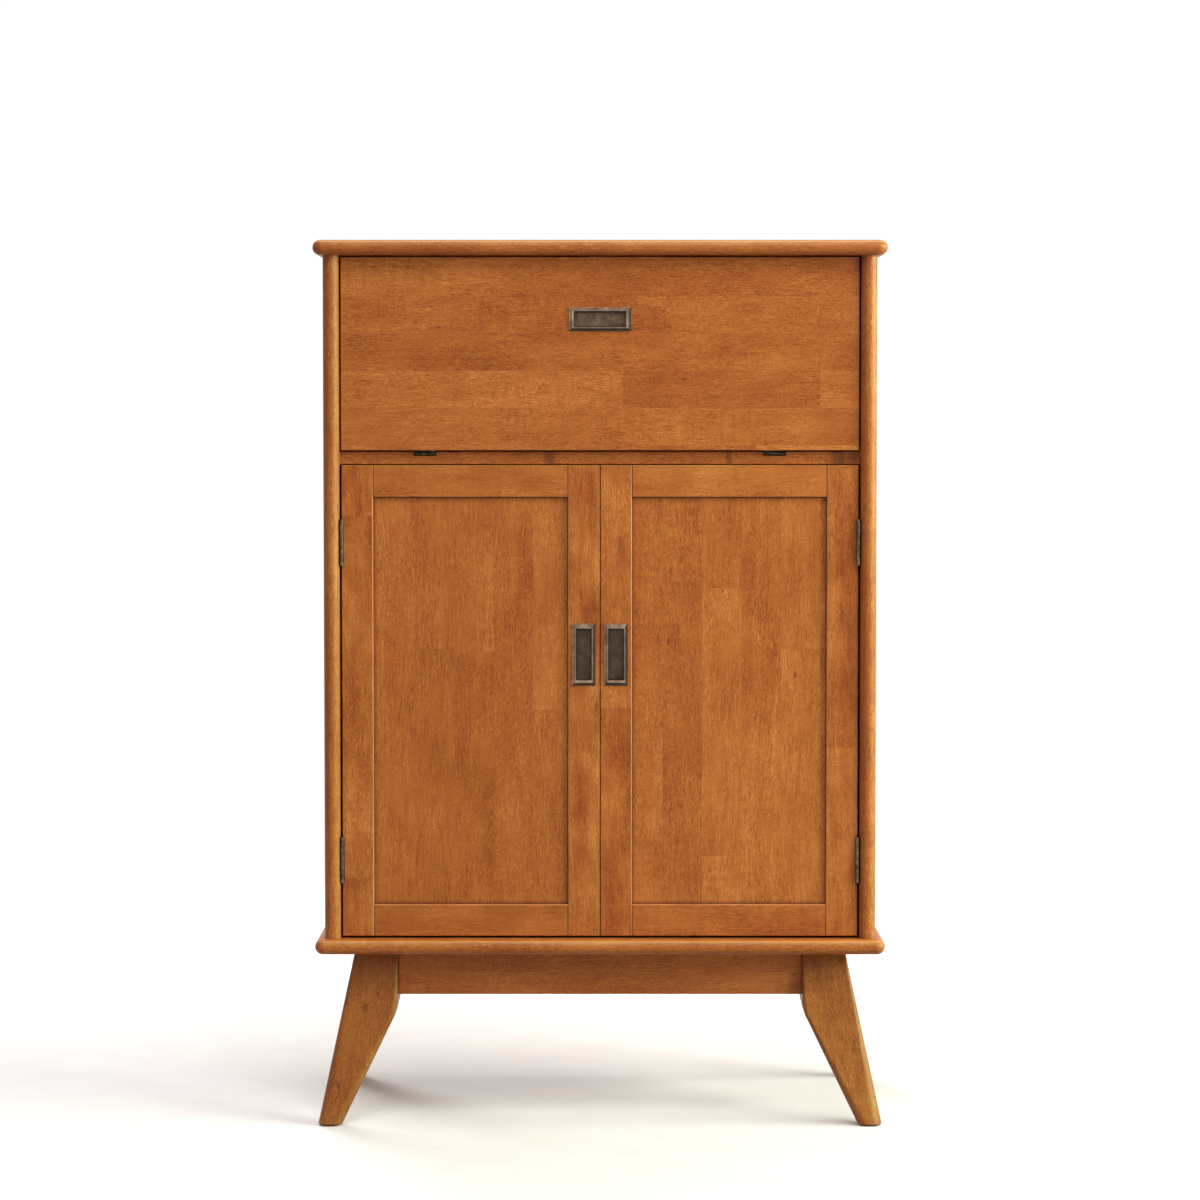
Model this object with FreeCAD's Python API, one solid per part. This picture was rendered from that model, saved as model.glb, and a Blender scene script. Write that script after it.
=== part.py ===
import FreeCAD
import Part
import math
import os

# A bar cabinet with a fold out shelf above two doors, on splayed legs. X is the width, +Y runs
# to the back and Z is up. The origin is on the floor under the middle. Lengths are millimetres.

# Overall size
WIDTH = 762.0
DEPTH = 400.0
HEIGHT = 1183.0
BASE_HEIGHT = 231.5

# Slabs above and below the case, rounded along the front and the two sides
SLAB_THICKNESS = 20.0
SLAB_EDGE_FLAT = 0.3
SLAB_CORNER_EASE = 2.2

# Side panels with a half-round front edge, and the back panel in their rabbets
SIDE_THICKNESS = 21.5
SIDE_OVERHANG = 12.5
NOSE_SETBACK = 13.0
BACK_THICKNESS = 5.0
BACK_INSET = 2.0
RABBET_WIDTH = 9.0
BACK_EDGE_GAP = 0.5

# Fixed shelf, let into both side panels, and the adjustable shelf on its pins
SHELF_THICKNESS = 17.5
SHELF_SETBACK = 11.0
DADO_DEPTH = 6.0
LOOSE_SHELF_THICKNESS = 17.5
LOOSE_SHELF_SIDE_GAP = 0.6
LOOSE_SHELF_FRONT_GAP = 10.0
LOOSE_SHELF_BACK_GAP = 2.0
PIN_HOLE_PITCH = 32.0
PIN_HOLE_ROWS = 5
PIN_EDGE_DISTANCE = 45.0
SHELF_PIN_RADIUS = 2.5
SHELF_PIN_DEPTH = 9.0
PIN_TAB_LENGTH = 12.0
PIN_TAB_WIDTH = 10.0
PIN_TAB_THICKNESS = 2.0

# Doors and flap
FACE_SETBACK = 10.0
DOOR_THICKNESS = 19.0
DOOR_TOP_GAP = 0.9
DOOR_BOTTOM_GAP = 2.6
MEETING_GAP = 1.0
MEETING_BEVEL = 1.0
STILE_WIDTH = 42.0
RAIL_WIDTH = 42.5
PANEL_THICKNESS = 6.0
PANEL_RECESS = 5.5
GROOVE_DEPTH = 8.0
PANEL_EDGE_GAP = 1.0
GROOVE_PLAY = 0.1
FLAP_THICKNESS = 19.0
FLAP_HEIGHT = 257.0
FLAP_TOP_GAP = 1.6
FLAP_SHELF_GAP = 1.2
FLAP_SIDE_GAP = 1.9
EDGE_EASE = 0.8

# Hinges: rolled knuckles on a plain pin, leaves screwed on
KNUCKLE_RADIUS = 2.65
PIN_RADIUS = 1.45
LEAF_THICKNESS = 1.15
LEAF_PLAY = 0.1
AXIS_STANDOFF = 2.9
KNUCKLE_GAP = 0.25
DOOR_HINGE_LENGTH = 62.0
DOOR_HINGE_KNUCKLES = 5
DOOR_HINGE_INSET = 72.0
DOOR_LEAF_WIDTH = 18.0
DOOR_HINGE_SCREWS = 3
FLAP_HINGE_LENGTH = 29.0
FLAP_HINGE_KNUCKLES = 3
FLAP_HINGE_OFFSET = 233.5
FLAP_KNUCKLE_RADIUS = 3.3
FLAP_AXIS_STANDOFF = 3.6
FLAP_LEAF_WIDTH = 10.0
SHELF_LEAF_WIDTH = 17.0
FLAP_HINGE_SCREWS = 2
NOTCH_PLAY = 0.5

# Recessed pulls: a bevelled frame round a finger dish, fixed by two screws from behind
PULL_LENGTH = 82.5
PULL_WIDTH = 31.0
PULL_LIP = 1.4
PULL_STEP = 1.4
PULL_BEVEL = 2.2
PULL_HEIGHT = 3.8
DISH_LENGTH = 68.0
DISH_WIDTH = 20.0
DISH_BEVEL = 1.0
DISH_DEPTH = 5.0
DISH_WALL = 1.5
BOSS_RADIUS = 2.4
BOSS_LENGTH = 6.0
FLAP_PULL_DROP = 83.0
DOOR_PULL_HEIGHT = 378.0

# Flap stays: an arm that turns on the flap and slides on a stud at the same distance from the hinge
STAY_PIVOT_RISE = 140.0
STAY_PIVOT_REACH = 13.0
STAY_STUD_ANGLE = 22.0
FLAP_OPENING = 90.0
ARM_WIDTH = 14.0
ARM_THICKNESS = 2.0
ARM_END = 9.0
STUD_RADIUS = 3.0
STUD_HEAD_RADIUS = 5.0
STUD_HEAD_THICKNESS = 1.5
RIVET_RADIUS = 2.5
RIVET_HEAD_RADIUS = 4.2
RIVET_HEAD_THICKNESS = 1.0
STAY_PLATE_THICKNESS = 2.0
STAY_PLATE_WIDTH = 26.0
STAY_PLATE_HEIGHT = 44.0
STAY_SCREW_OFFSET = 14.0
STAY_RUNNING_GAP = 0.4
SLOT_PLAY = 0.2
BRACKET_THICKNESS = 2.0
BRACKET_WIDTH = 24.0
BRACKET_HEIGHT = 30.0
BRACKET_SCREW_OFFSET = 9.0

# Magnetic catches and their strike plates
CATCH_OFFSET = 44.0
CATCH_LENGTH = 42.0
CATCH_BODY_LENGTH = 26.0
CATCH_DEPTH = 15.0
CATCH_HEIGHT = 12.0
CATCH_EAR_THICKNESS = 3.0
POLE_LENGTH = 22.0
POLE_THICKNESS = 1.6
POLE_SPACING = 4.4
POLE_PROUD = 0.8
POLE_SINK = 9.0
STRIKE_LENGTH = 36.0
STRIKE_WIDTH = 9.0
STRIKE_THICKNESS = 1.2
STRIKE_SCREW_OFFSET = 12.0
STRIKE_GAP = 0.2

# Base: four legs splayed to the front, back and sides, rounder towards the foot, with aprons between them
LEG_TOP_INSET = 51.0
LEG_TOP_WIDTH = 57.5
LEG_FOOT_INSET = 3.0
LEG_FOOT_WIDTH = 32.0
LEG_KNEE_HEIGHT = 152.0
LEG_KNEE_EASE = 7.0
LEG_TOP_RADIUS = 2.5
LEG_FOOT_RADIUS = 13.0
FOOT_RIM = 1.8
APRON_HEIGHT = 61.5
APRON_THICKNESS = 18.0
APRON_SETBACK = 9.0
TENON_LENGTH = 14.0
TENON_THICKNESS = 8.0
TENON_SHOULDER = 12.0
CLEAT_SIZE = 20.0
CLEAT_LENGTH = 360.0
CLEAT_SCREWS = 3
CLEAT_SCREW_LENGTH = 34.0
CLEAT_SCREW_EDGE = 30.0
GLIDE_RADIUS = 10.0
GLIDE_HEIGHT = 1.5

# Dowels and screws
DOWEL_RADIUS = 4.0
DOWEL_LENGTH = 30.0
DOWEL_SLAB_DEPTH = 11.0
SIDE_DOWELS = 3
SIDE_DOWEL_EDGE = 50.0
LEG_DOWEL_SPACING = 22.0
SCREW_RADIUS = 1.5
SCREW_HEAD_RADIUS = 2.8
SCREW_HEAD_HEIGHT = 1.3
SCREW_LENGTH = 12.0
BACK_SCREW_LENGTH = 16.0
BACK_SIDE_SCREW_COUNT = 5
BACK_SHELF_SCREW_COUNT = 3
BACK_SCREW_EDGE = 40.0
RECESS_LENGTH = 3.4
RECESS_WIDTH = 0.8
RECESS_DEPTH = 0.9
PULL_SCREW_HEAD_RADIUS = 3.2
PULL_SCREW_HEAD_HEIGHT = 1.8
PULL_SCREW_RADIUS = 1.0
PULL_SCREW_GRIP = 4.0

# Radial clearance of pins, screws and dowels, and the room past the end of each in its bore
FIT = 0.05
END_PLAY = 0.5
TOUCH = 0.001

# Planes and lines worked out from the sizes above
half_width = WIDTH / 2
half_depth = DEPTH / 2
side_outer = half_width - SIDE_OVERHANG
side_inner = side_outer - SIDE_THICKNESS
side_middle = (side_outer + side_inner) / 2
nose_y = -half_depth + NOSE_SETBACK
face_y = nose_y + FACE_SETBACK
door_back = face_y + DOOR_THICKNESS
flap_back = face_y + FLAP_THICKNESS
back_rear = half_depth - BACK_INSET
back_front = back_rear - BACK_THICKNESS
floor_z = BASE_HEIGHT + SLAB_THICKNESS
ceiling_z = HEIGHT - SLAB_THICKNESS
flap_top = ceiling_z - FLAP_TOP_GAP
flap_bottom = flap_top - FLAP_HEIGHT
shelf_top = flap_bottom - FLAP_SHELF_GAP
shelf_bottom = shelf_top - SHELF_THICKNESS
shelf_front = face_y + SHELF_SETBACK
door_top = shelf_bottom - DOOR_TOP_GAP
door_bottom = floor_z + DOOR_BOTTOM_GAP
door_outer = side_inner - 2 * LEAF_THICKNESS - LEAF_PLAY
door_inner = MEETING_GAP / 2
flap_edge = side_inner - FLAP_SIDE_GAP
door_axis_x = side_inner - KNUCKLE_RADIUS
door_axis_y = face_y - AXIS_STANDOFF
flap_axis_y = shelf_front
flap_axis_z = flap_bottom - FLAP_AXIS_STANDOFF
leg_outer_x = half_width - LEG_TOP_INSET
leg_outer_y = half_depth - LEG_TOP_INSET
leg_inner_x = leg_outer_x - LEG_TOP_WIDTH
leg_inner_y = leg_outer_y - LEG_TOP_WIDTH
apron_bottom = BASE_HEIGHT - APRON_HEIGHT
pull_boss_x = PULL_LENGTH / 2 - PULL_STEP - BOSS_RADIUS

V = FreeCAD.Vector
X_AXIS = V(1, 0, 0)
Y_AXIS = V(0, 1, 0)
Z_AXIS = V(0, 0, 1)


# Shapes and placing


def block(x0, x1, y0, y1, z0, z1):
    return Part.makeBox(x1 - x0, y1 - y0, z1 - z0, V(x0, y0, z0))


def rod(radius, start, end):
    return Part.makeCylinder(radius, (end - start).Length, start, end - start)


def prism(points, along):
    return Part.Face(Part.makePolygon(points + points[:1])).extrude(along)


def placed(shape, origin, x_dir, y_dir):
    """A copy of a shape drawn at the world origin, with its X and Y turned to two directions."""
    z_dir = x_dir.cross(y_dir)
    rows = zip(x_dir, y_dir, z_dir, origin)
    matrix = FreeCAD.Matrix(*[value for row in rows for value in row])
    copy = shape.copy()
    copy.Placement = FreeCAD.Placement(matrix)
    return copy


def mirrored(shape):
    return shape.mirror(V(0, 0, 0), X_AXIS)


def with_mirror(shapes):
    return shapes + [mirrored(shape) for shape in shapes]


def spread(first, last, count):
    step = (last - first) / (count - 1)
    return [first + step * index for index in range(count)]


def edges_on(shape, axis, value):
    """Edges that lie in the plane where the named axis, X, Y or Z, has this value."""
    chosen = []
    for edge in shape.Edges:
        box = edge.BoundBox
        low = getattr(box, axis + "Min")
        high = getattr(box, axis + "Max")
        if abs(low - value) < TOUCH and abs(high - value) < TOUCH:
            chosen.append(edge)
    return chosen


def eased_front(shape, front):
    return shape.makeChamfer(EDGE_EASE, edges_on(shape, "Y", front))


# Fasteners: each call gives the fastener, and with grow set its bore


def screw(point, direction, length=SCREW_LENGTH, grow=0.0):
    """Countersunk screw without its recess, with the head flush with the surface at point."""
    head = Part.makeCone(SCREW_HEAD_RADIUS + grow, SCREW_RADIUS + grow, SCREW_HEAD_HEIGHT, point, direction)
    reach = length + (END_PLAY if grow else 0.0)
    return head.fuse(Part.makeCylinder(SCREW_RADIUS + grow, reach, point, direction))


def cross_recess(point, direction):
    """Cross for a driver, sunk from a head's face at point. The direction lies along an axis."""
    half, side = RECESS_LENGTH / 2, RECESS_WIDTH / 2
    slot = block(-half, half, -side, side, 0, RECESS_DEPTH)
    cross = slot.fuse(block(-side, side, -half, half, 0, RECESS_DEPTH))
    across = V(direction.y, direction.z, direction.x)
    return placed(cross, point, across, direction.cross(across))


def screws(places, length=SCREW_LENGTH):
    return [screw(*place, length).cut(cross_recess(*place)) for place in places]


def screw_bores(places, length=SCREW_LENGTH):
    return [screw(point, direction, length, FIT) for point, direction in places]


def dowel(point, slab_side, grow=0.0):
    """Dowel across a joint at point, with its shorter part in the slab on slab_side (1 up, -1 down)."""
    play = END_PLAY if grow else 0.0
    slab_end = point + Z_AXIS * slab_side * (DOWEL_SLAB_DEPTH + play)
    other_end = point - Z_AXIS * slab_side * (DOWEL_LENGTH - DOWEL_SLAB_DEPTH + play)
    return rod(DOWEL_RADIUS + grow, slab_end, other_end)


def side_dowels(slab_side, grow=0.0):
    level = ceiling_z if slab_side > 0 else floor_z
    rows = spread(nose_y + SIDE_DOWEL_EDGE, back_front - SIDE_DOWEL_EDGE, SIDE_DOWELS)
    return [dowel(V(side_middle, y, level), slab_side, grow) for y in rows]


def leg_dowels(grow=0.0):
    """The two dowels in the top of the right front leg."""
    middle_x = leg_outer_x - LEG_TOP_WIDTH / 2
    middle_y = leg_outer_y - LEG_TOP_WIDTH / 2
    half = LEG_DOWEL_SPACING / 2
    places = [(middle_x - half, -middle_y + half), (middle_x + half, -middle_y - half)]
    return [dowel(V(x, y, BASE_HEIGHT), 1, grow) for x, y in places]


def four_corners(shapes):
    """Shapes at the right front corner, repeated at the other three."""
    rear = [shape.mirror(V(0, 0, 0), Y_AXIS) for shape in shapes]
    return with_mirror(shapes + rear)


# Hinges, drawn with the pin along Z through the origin


def knuckle_spans(length, count, first):
    """Ends of every other knuckle along a hinge, starting with the first or the second."""
    pitch = length / count
    return [(pitch * i + KNUCKLE_GAP / 2, pitch * (i + 1) - KNUCKLE_GAP / 2) for i in range(first, count, 2)]


def ring_middle(radius):
    """Distance from the pin's axis to the middle of a knuckle's wall."""
    return (radius + PIN_RADIUS) / 2


def hinge_leaf(radius, length, count, first, plate, tab):
    """Leaf from two sections (x0, x1, y0, y1): its plate, and the strip that runs to each knuckle."""
    pieces = [block(*plate, 0, length)]
    for low, high in knuckle_spans(length, count, first):
        pieces.append(Part.makeCylinder(radius, high - low, V(0, 0, low)))
        pieces.append(block(*tab, low, high))
    leaf = pieces[0].fuse(pieces[1:])
    bore = Part.makeCylinder(PIN_RADIUS + FIT, length, V(0, 0, 0))
    return leaf.cut(bore).removeSplitter()


def door_hinge_bottoms():
    return [door_bottom + DOOR_HINGE_INSET, door_top - DOOR_HINGE_INSET - DOOR_HINGE_LENGTH]


def at_door_hinges(shape):
    """A hinge piece at the two hinges of the right door."""
    return [placed(shape, V(door_axis_x, door_axis_y, z), X_AXIS, Y_AXIS) for z in door_hinge_bottoms()]


def door_frame_leaves():
    section = (KNUCKLE_RADIUS - LEAF_THICKNESS, KNUCKLE_RADIUS)
    plate = section + (AXIS_STANDOFF, DOOR_LEAF_WIDTH)
    tab = section + (0.0, AXIS_STANDOFF)
    leaf = hinge_leaf(KNUCKLE_RADIUS, DOOR_HINGE_LENGTH, DOOR_HINGE_KNUCKLES, 0, plate, tab)
    bores = screw_bores(frame_hinge_screw_places())
    return [piece.cut(bores) for piece in at_door_hinges(leaf)]


def door_moving_leaves():
    start = door_outer - door_axis_x
    section = (start, start + LEAF_THICKNESS)
    plate = section + (AXIS_STANDOFF, DOOR_LEAF_WIDTH)
    tab = section + (ring_middle(KNUCKLE_RADIUS), AXIS_STANDOFF)
    leaf = hinge_leaf(KNUCKLE_RADIUS, DOOR_HINGE_LENGTH, DOOR_HINGE_KNUCKLES, 1, plate, tab)
    bores = screw_bores(door_hinge_screw_places())
    return [piece.cut(bores) for piece in at_door_hinges(leaf)]


def door_leaf_screw_spots():
    """Heights and depths of the screws in a door hinge leaf, set in a zigzag."""
    margin = DOOR_HINGE_LENGTH / (2 * DOOR_HINGE_SCREWS)
    heights = spread(margin, DOOR_HINGE_LENGTH - margin, DOOR_HINGE_SCREWS)
    third = (DOOR_LEAF_WIDTH - AXIS_STANDOFF) / 3
    spots = []
    for bottom in door_hinge_bottoms():
        for index, height in enumerate(heights):
            depth = door_axis_y + AXIS_STANDOFF + third * (1 + index % 2)
            spots.append((depth, bottom + height))
    return spots


def frame_hinge_screw_places():
    return [(V(side_inner - LEAF_THICKNESS, y, z), X_AXIS) for y, z in door_leaf_screw_spots()]


def door_hinge_screw_places():
    return [(V(door_outer + LEAF_THICKNESS, y, z), -X_AXIS) for y, z in door_leaf_screw_spots()]


def door_hinge_pins():
    return at_door_hinges(Part.makeCylinder(PIN_RADIUS, DOOR_HINGE_LENGTH))


def at_flap_hinge(shape):
    """A hinge piece at the right flap hinge: drawn X turns up and drawn Y to the front."""
    start = V(FLAP_HINGE_OFFSET - FLAP_HINGE_LENGTH / 2, flap_axis_y, flap_axis_z)
    return placed(shape, start, Z_AXIS, -Y_AXIS)


def flap_moving_leaf():
    section = (FLAP_AXIS_STANDOFF - LEAF_THICKNESS, FLAP_AXIS_STANDOFF)
    plate = section + (FLAP_AXIS_STANDOFF, FLAP_LEAF_WIDTH)
    tab = section + (0.0, FLAP_AXIS_STANDOFF)
    leaf = hinge_leaf(FLAP_KNUCKLE_RADIUS, FLAP_HINGE_LENGTH, FLAP_HINGE_KNUCKLES, 1, plate, tab)
    return at_flap_hinge(leaf).cut(screw_bores(flap_hinge_screw_places()))


def flap_shelf_leaf():
    top = FLAP_AXIS_STANDOFF - FLAP_SHELF_GAP
    section = (top - LEAF_THICKNESS, top)
    plate = section + (-SHELF_LEAF_WIDTH, -FLAP_AXIS_STANDOFF)
    tab = section + (-FLAP_AXIS_STANDOFF, -ring_middle(FLAP_KNUCKLE_RADIUS))
    leaf = hinge_leaf(FLAP_KNUCKLE_RADIUS, FLAP_HINGE_LENGTH, FLAP_HINGE_KNUCKLES, 0, plate, tab)
    return at_flap_hinge(leaf).cut(screw_bores(shelf_hinge_screw_places()))


def flap_hinge_screw_xs():
    margin = FLAP_HINGE_LENGTH / (2 * FLAP_HINGE_SCREWS)
    start = FLAP_HINGE_OFFSET - FLAP_HINGE_LENGTH / 2
    return spread(start + margin, start + FLAP_HINGE_LENGTH - margin, FLAP_HINGE_SCREWS)


def flap_hinge_screw_places():
    y = flap_axis_y - (FLAP_AXIS_STANDOFF + FLAP_LEAF_WIDTH) / 2
    return [(V(x, y, flap_bottom - LEAF_THICKNESS), Z_AXIS) for x in flap_hinge_screw_xs()]


def shelf_hinge_screw_places():
    y = flap_axis_y + (FLAP_AXIS_STANDOFF + SHELF_LEAF_WIDTH) / 2
    return [(V(x, y, shelf_top), -Z_AXIS) for x in flap_hinge_screw_xs()]


def flap_hinge_pin():
    return at_flap_hinge(Part.makeCylinder(PIN_RADIUS, FLAP_HINGE_LENGTH))


def flap_hinge_recess():
    """What one flap hinge takes out of the fixed shelf: a notch for the barrel and a leaf seat."""
    half = FLAP_HINGE_LENGTH / 2
    reach = FLAP_KNUCKLE_RADIUS + NOTCH_PLAY
    notch = block(
        FLAP_HINGE_OFFSET - half - NOTCH_PLAY, FLAP_HINGE_OFFSET + half + NOTCH_PLAY,
        shelf_front - reach, shelf_front + reach,
        flap_axis_z - reach, shelf_top + reach,
    )
    seat = block(
        FLAP_HINGE_OFFSET - half, FLAP_HINGE_OFFSET + half,
        shelf_front, shelf_front + SHELF_LEAF_WIDTH,
        shelf_top - LEAF_THICKNESS, shelf_top + reach,
    )
    return notch.fuse(seat)


# Pulls, drawn at the origin with the long side along X and the front towards -Y


def rectangle(length, width, y):
    x, z = length / 2, width / 2
    return Part.makePolygon([V(-x, y, -z), V(x, y, -z), V(x, y, z), V(-x, y, z), V(-x, y, -z)])


def tapered(length, width, y, end_length, end_width, end_y):
    ends = [rectangle(length, width, y), rectangle(end_length, end_width, end_y)]
    return Part.makeLoft(ends, True, True)


def centred_block(length, width, y0, y1):
    return block(-length / 2, length / 2, y0, y1, -width / 2, width / 2)


def pull():
    """Frame with a stepped, bevelled edge round a dish that is let into the wood."""
    step, bevel = 2 * PULL_STEP, 2 * (PULL_STEP + PULL_BEVEL)
    lip = centred_block(PULL_LENGTH, PULL_WIDTH, -PULL_LIP, 0)
    frame = tapered(
        PULL_LENGTH - step, PULL_WIDTH - step, -PULL_LIP,
        PULL_LENGTH - bevel, PULL_WIDTH - bevel, -PULL_HEIGHT,
    )
    pan = centred_block(DISH_LENGTH + 2 * DISH_WALL, DISH_WIDTH + 2 * DISH_WALL, 0, DISH_DEPTH + DISH_WALL)
    bosses = [rod(BOSS_RADIUS, V(x, 0, 0), V(x, BOSS_LENGTH, 0)) for x in (-pull_boss_x, pull_boss_x)]
    body = lip.fuse([frame, pan] + bosses)
    mouth = tapered(
        DISH_LENGTH + 2 * DISH_BEVEL, DISH_WIDTH + 2 * DISH_BEVEL, -PULL_HEIGHT,
        DISH_LENGTH, DISH_WIDTH, DISH_BEVEL - PULL_HEIGHT,
    )
    dish = centred_block(DISH_LENGTH, DISH_WIDTH, DISH_BEVEL - PULL_HEIGHT, DISH_DEPTH)
    threads = [
        rod(PULL_SCREW_RADIUS + FIT, V(x, BOSS_LENGTH, 0), V(x, BOSS_LENGTH - PULL_SCREW_GRIP - END_PLAY, 0))
        for x in (-pull_boss_x, pull_boss_x)
    ]
    return body.cut([mouth, dish] + threads).removeSplitter()


def pull_pocket(thickness):
    """What a pull takes out of a board of this thickness: the pan, both bosses and screw holes."""
    play = 2 * (DISH_WALL + FIT)
    pan = centred_block(DISH_LENGTH + play, DISH_WIDTH + play, 0, DISH_DEPTH + DISH_WALL + END_PLAY)
    tools = []
    for x in (-pull_boss_x, pull_boss_x):
        tools.append(rod(BOSS_RADIUS + FIT, V(x, 0, 0), V(x, BOSS_LENGTH + END_PLAY, 0)))
        tools.append(rod(PULL_SCREW_RADIUS + FIT, V(x, 0, 0), V(x, thickness, 0)))
    return pan.fuse(tools)


def pull_screws(thickness):
    pieces = []
    for x in (-pull_boss_x, pull_boss_x):
        seat = V(x, thickness, 0)
        outside = seat + Y_AXIS * PULL_SCREW_HEAD_HEIGHT
        head = rod(PULL_SCREW_HEAD_RADIUS, seat, outside)
        shank = rod(PULL_SCREW_RADIUS, seat, V(x, BOSS_LENGTH - PULL_SCREW_GRIP, 0))
        pieces.append(head.fuse(shank).cut(cross_recess(outside, -Y_AXIS)))
    return pieces


def on_flap(shape):
    return placed(shape, V(0, face_y, flap_top - FLAP_PULL_DROP), X_AXIS, Y_AXIS)


def on_door(shape):
    """A pull piece turned upright on the right door's meeting stile."""
    origin = V(door_inner + STILE_WIDTH / 2, face_y, door_bottom + DOOR_PULL_HEIGHT)
    return placed(shape, origin, Z_AXIS, Y_AXIS)


# Case


def slab(bottom):
    """Board with a square back edge, rounded corners and half-round front and side edges."""
    nose = (SLAB_THICKNESS - SLAB_EDGE_FLAT) / 2
    corner = nose + SLAB_CORNER_EASE
    diagonal = corner * (1 - math.sqrt(0.5))
    x, front, back = half_width, -half_depth, half_depth
    outline = [
        Part.LineSegment(V(-x, back), V(x, back)),
        Part.LineSegment(V(x, back), V(x, front + corner)),
        Part.Arc(V(x, front + corner), V(x - diagonal, front + diagonal), V(x - corner, front)),
        Part.LineSegment(V(x - corner, front), V(-x + corner, front)),
        Part.Arc(V(-x + corner, front), V(-x + diagonal, front + diagonal), V(-x, front + corner)),
        Part.LineSegment(V(-x, front + corner), V(-x, back)),
    ]
    face = Part.Face(Part.Wire([line.toShape() for line in outline]))
    board = face.extrude(Z_AXIS * SLAB_THICKNESS)
    board.translate(Z_AXIS * bottom)
    rims = edges_on(board, "Z", bottom) + edges_on(board, "Z", bottom + SLAB_THICKNESS)
    rims = [edge for edge in rims if edge.BoundBox.YMin < back - TOUCH]
    return board.makeFillet(nose, rims)


def top_slab():
    bores = with_mirror(side_dowels(1, FIT)) + screw_bores(flap_catch_screw_places())
    return slab(ceiling_z).cut(bores)


def bottom_slab():
    bores = with_mirror(side_dowels(-1, FIT)) + four_corners(leg_dowels(FIT))
    bores += with_mirror(screw_bores(door_catch_screw_places()))
    bores += screw_bores(cleat_screw_places(), CLEAT_SCREW_LENGTH)
    return slab(BASE_HEIGHT).cut(bores)


def pin_hole_rows():
    middle = (floor_z + shelf_bottom) / 2
    half = PIN_HOLE_PITCH * (PIN_HOLE_ROWS - 1) / 2
    return spread(middle - half, middle + half, PIN_HOLE_ROWS)


def pin_hole_columns():
    front = door_back + LOOSE_SHELF_FRONT_GAP + PIN_EDGE_DISTANCE
    return [front, back_front - LOOSE_SHELF_BACK_GAP - PIN_EDGE_DISTANCE]


def pin_height():
    return pin_hole_rows()[PIN_HOLE_ROWS // 2]


def side_panel():
    """Right side panel: half-round front edge, rabbet at the back, dado for the fixed shelf."""
    radius = SIDE_THICKNESS / 2
    start = nose_y + radius
    outline = [
        Part.LineSegment(V(side_inner, start), V(side_inner, half_depth)),
        Part.LineSegment(V(side_inner, half_depth), V(side_outer, half_depth)),
        Part.LineSegment(V(side_outer, half_depth), V(side_outer, start)),
        Part.Arc(V(side_outer, start), V(side_middle, nose_y), V(side_inner, start)),
    ]
    face = Part.Face(Part.Wire([line.toShape() for line in outline]))
    panel = face.extrude(Z_AXIS * (ceiling_z - floor_z))
    panel.translate(Z_AXIS * floor_z)
    rabbet = block(side_inner, side_inner + RABBET_WIDTH, back_front, half_depth, floor_z, ceiling_z)
    dado = block(side_inner, side_inner + DADO_DEPTH, shelf_front, back_front, shelf_bottom, shelf_top)
    holes = []
    for y in pin_hole_columns():
        for z in pin_hole_rows():
            start = V(side_inner, y, z)
            holes.append(rod(SHELF_PIN_RADIUS + FIT, start, start + X_AXIS * (SHELF_PIN_DEPTH + END_PLAY)))
    bores = screw_bores(frame_hinge_screw_places()) + screw_bores(stay_plate_screw_places())
    bores += screw_bores(back_side_screw_places(), BACK_SCREW_LENGTH)
    bores += side_dowels(1, FIT) + side_dowels(-1, FIT)
    return panel.cut([rabbet, dado] + holes + bores)


def fixed_shelf():
    reach = side_inner + DADO_DEPTH
    board = block(-reach, reach, shelf_front, back_front, shelf_bottom, shelf_top)
    board = board.makeChamfer(EDGE_EASE, [e for e in edges_on(board, "Y", shelf_front) if e.Length > DEPTH])
    cuts = [flap_hinge_recess()] + screw_bores(shelf_hinge_screw_places())
    cuts = with_mirror(cuts) + screw_bores(back_shelf_screw_places(), BACK_SCREW_LENGTH)
    return board.cut(cuts)


def back_panel():
    edge = side_inner + RABBET_WIDTH - BACK_EDGE_GAP
    panel = block(-edge, edge, back_front, back_rear, floor_z, ceiling_z)
    bores = with_mirror(screw_bores(back_side_screw_places(), BACK_SCREW_LENGTH))
    return panel.cut(bores + screw_bores(back_shelf_screw_places(), BACK_SCREW_LENGTH))


def back_side_screw_places():
    x = side_inner + (RABBET_WIDTH - BACK_EDGE_GAP) / 2
    heights = spread(floor_z + BACK_SCREW_EDGE, ceiling_z - BACK_SCREW_EDGE, BACK_SIDE_SCREW_COUNT)
    return [(V(x, back_rear, z), -Y_AXIS) for z in heights]


def back_shelf_screw_places():
    middle = (shelf_top + shelf_bottom) / 2
    xs = spread(-side_inner / 2, side_inner / 2, BACK_SHELF_SCREW_COUNT)
    return [(V(x, back_rear, middle), -Y_AXIS) for x in xs]


def adjustable_shelf():
    edge = side_inner - LOOSE_SHELF_SIDE_GAP
    bottom = pin_height() + SHELF_PIN_RADIUS
    front = door_back + LOOSE_SHELF_FRONT_GAP
    rear = back_front - LOOSE_SHELF_BACK_GAP
    board = block(-edge, edge, front, rear, bottom, bottom + LOOSE_SHELF_THICKNESS)
    return eased_front(board, front)


def shelf_pins():
    """Two pegs on the right side, each with a flat tab under the shelf."""
    pins = []
    for y in pin_hole_columns():
        inside = V(side_inner, y, pin_height())
        peg = rod(SHELF_PIN_RADIUS, inside + X_AXIS * SHELF_PIN_DEPTH, inside)
        top = pin_height() + SHELF_PIN_RADIUS
        tab = block(
            side_inner - PIN_TAB_LENGTH, side_inner,
            y - PIN_TAB_WIDTH / 2, y + PIN_TAB_WIDTH / 2,
            top - PIN_TAB_THICKNESS, top,
        )
        pins.append(peg.fuse(tab))
    return pins


# Right door


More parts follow.
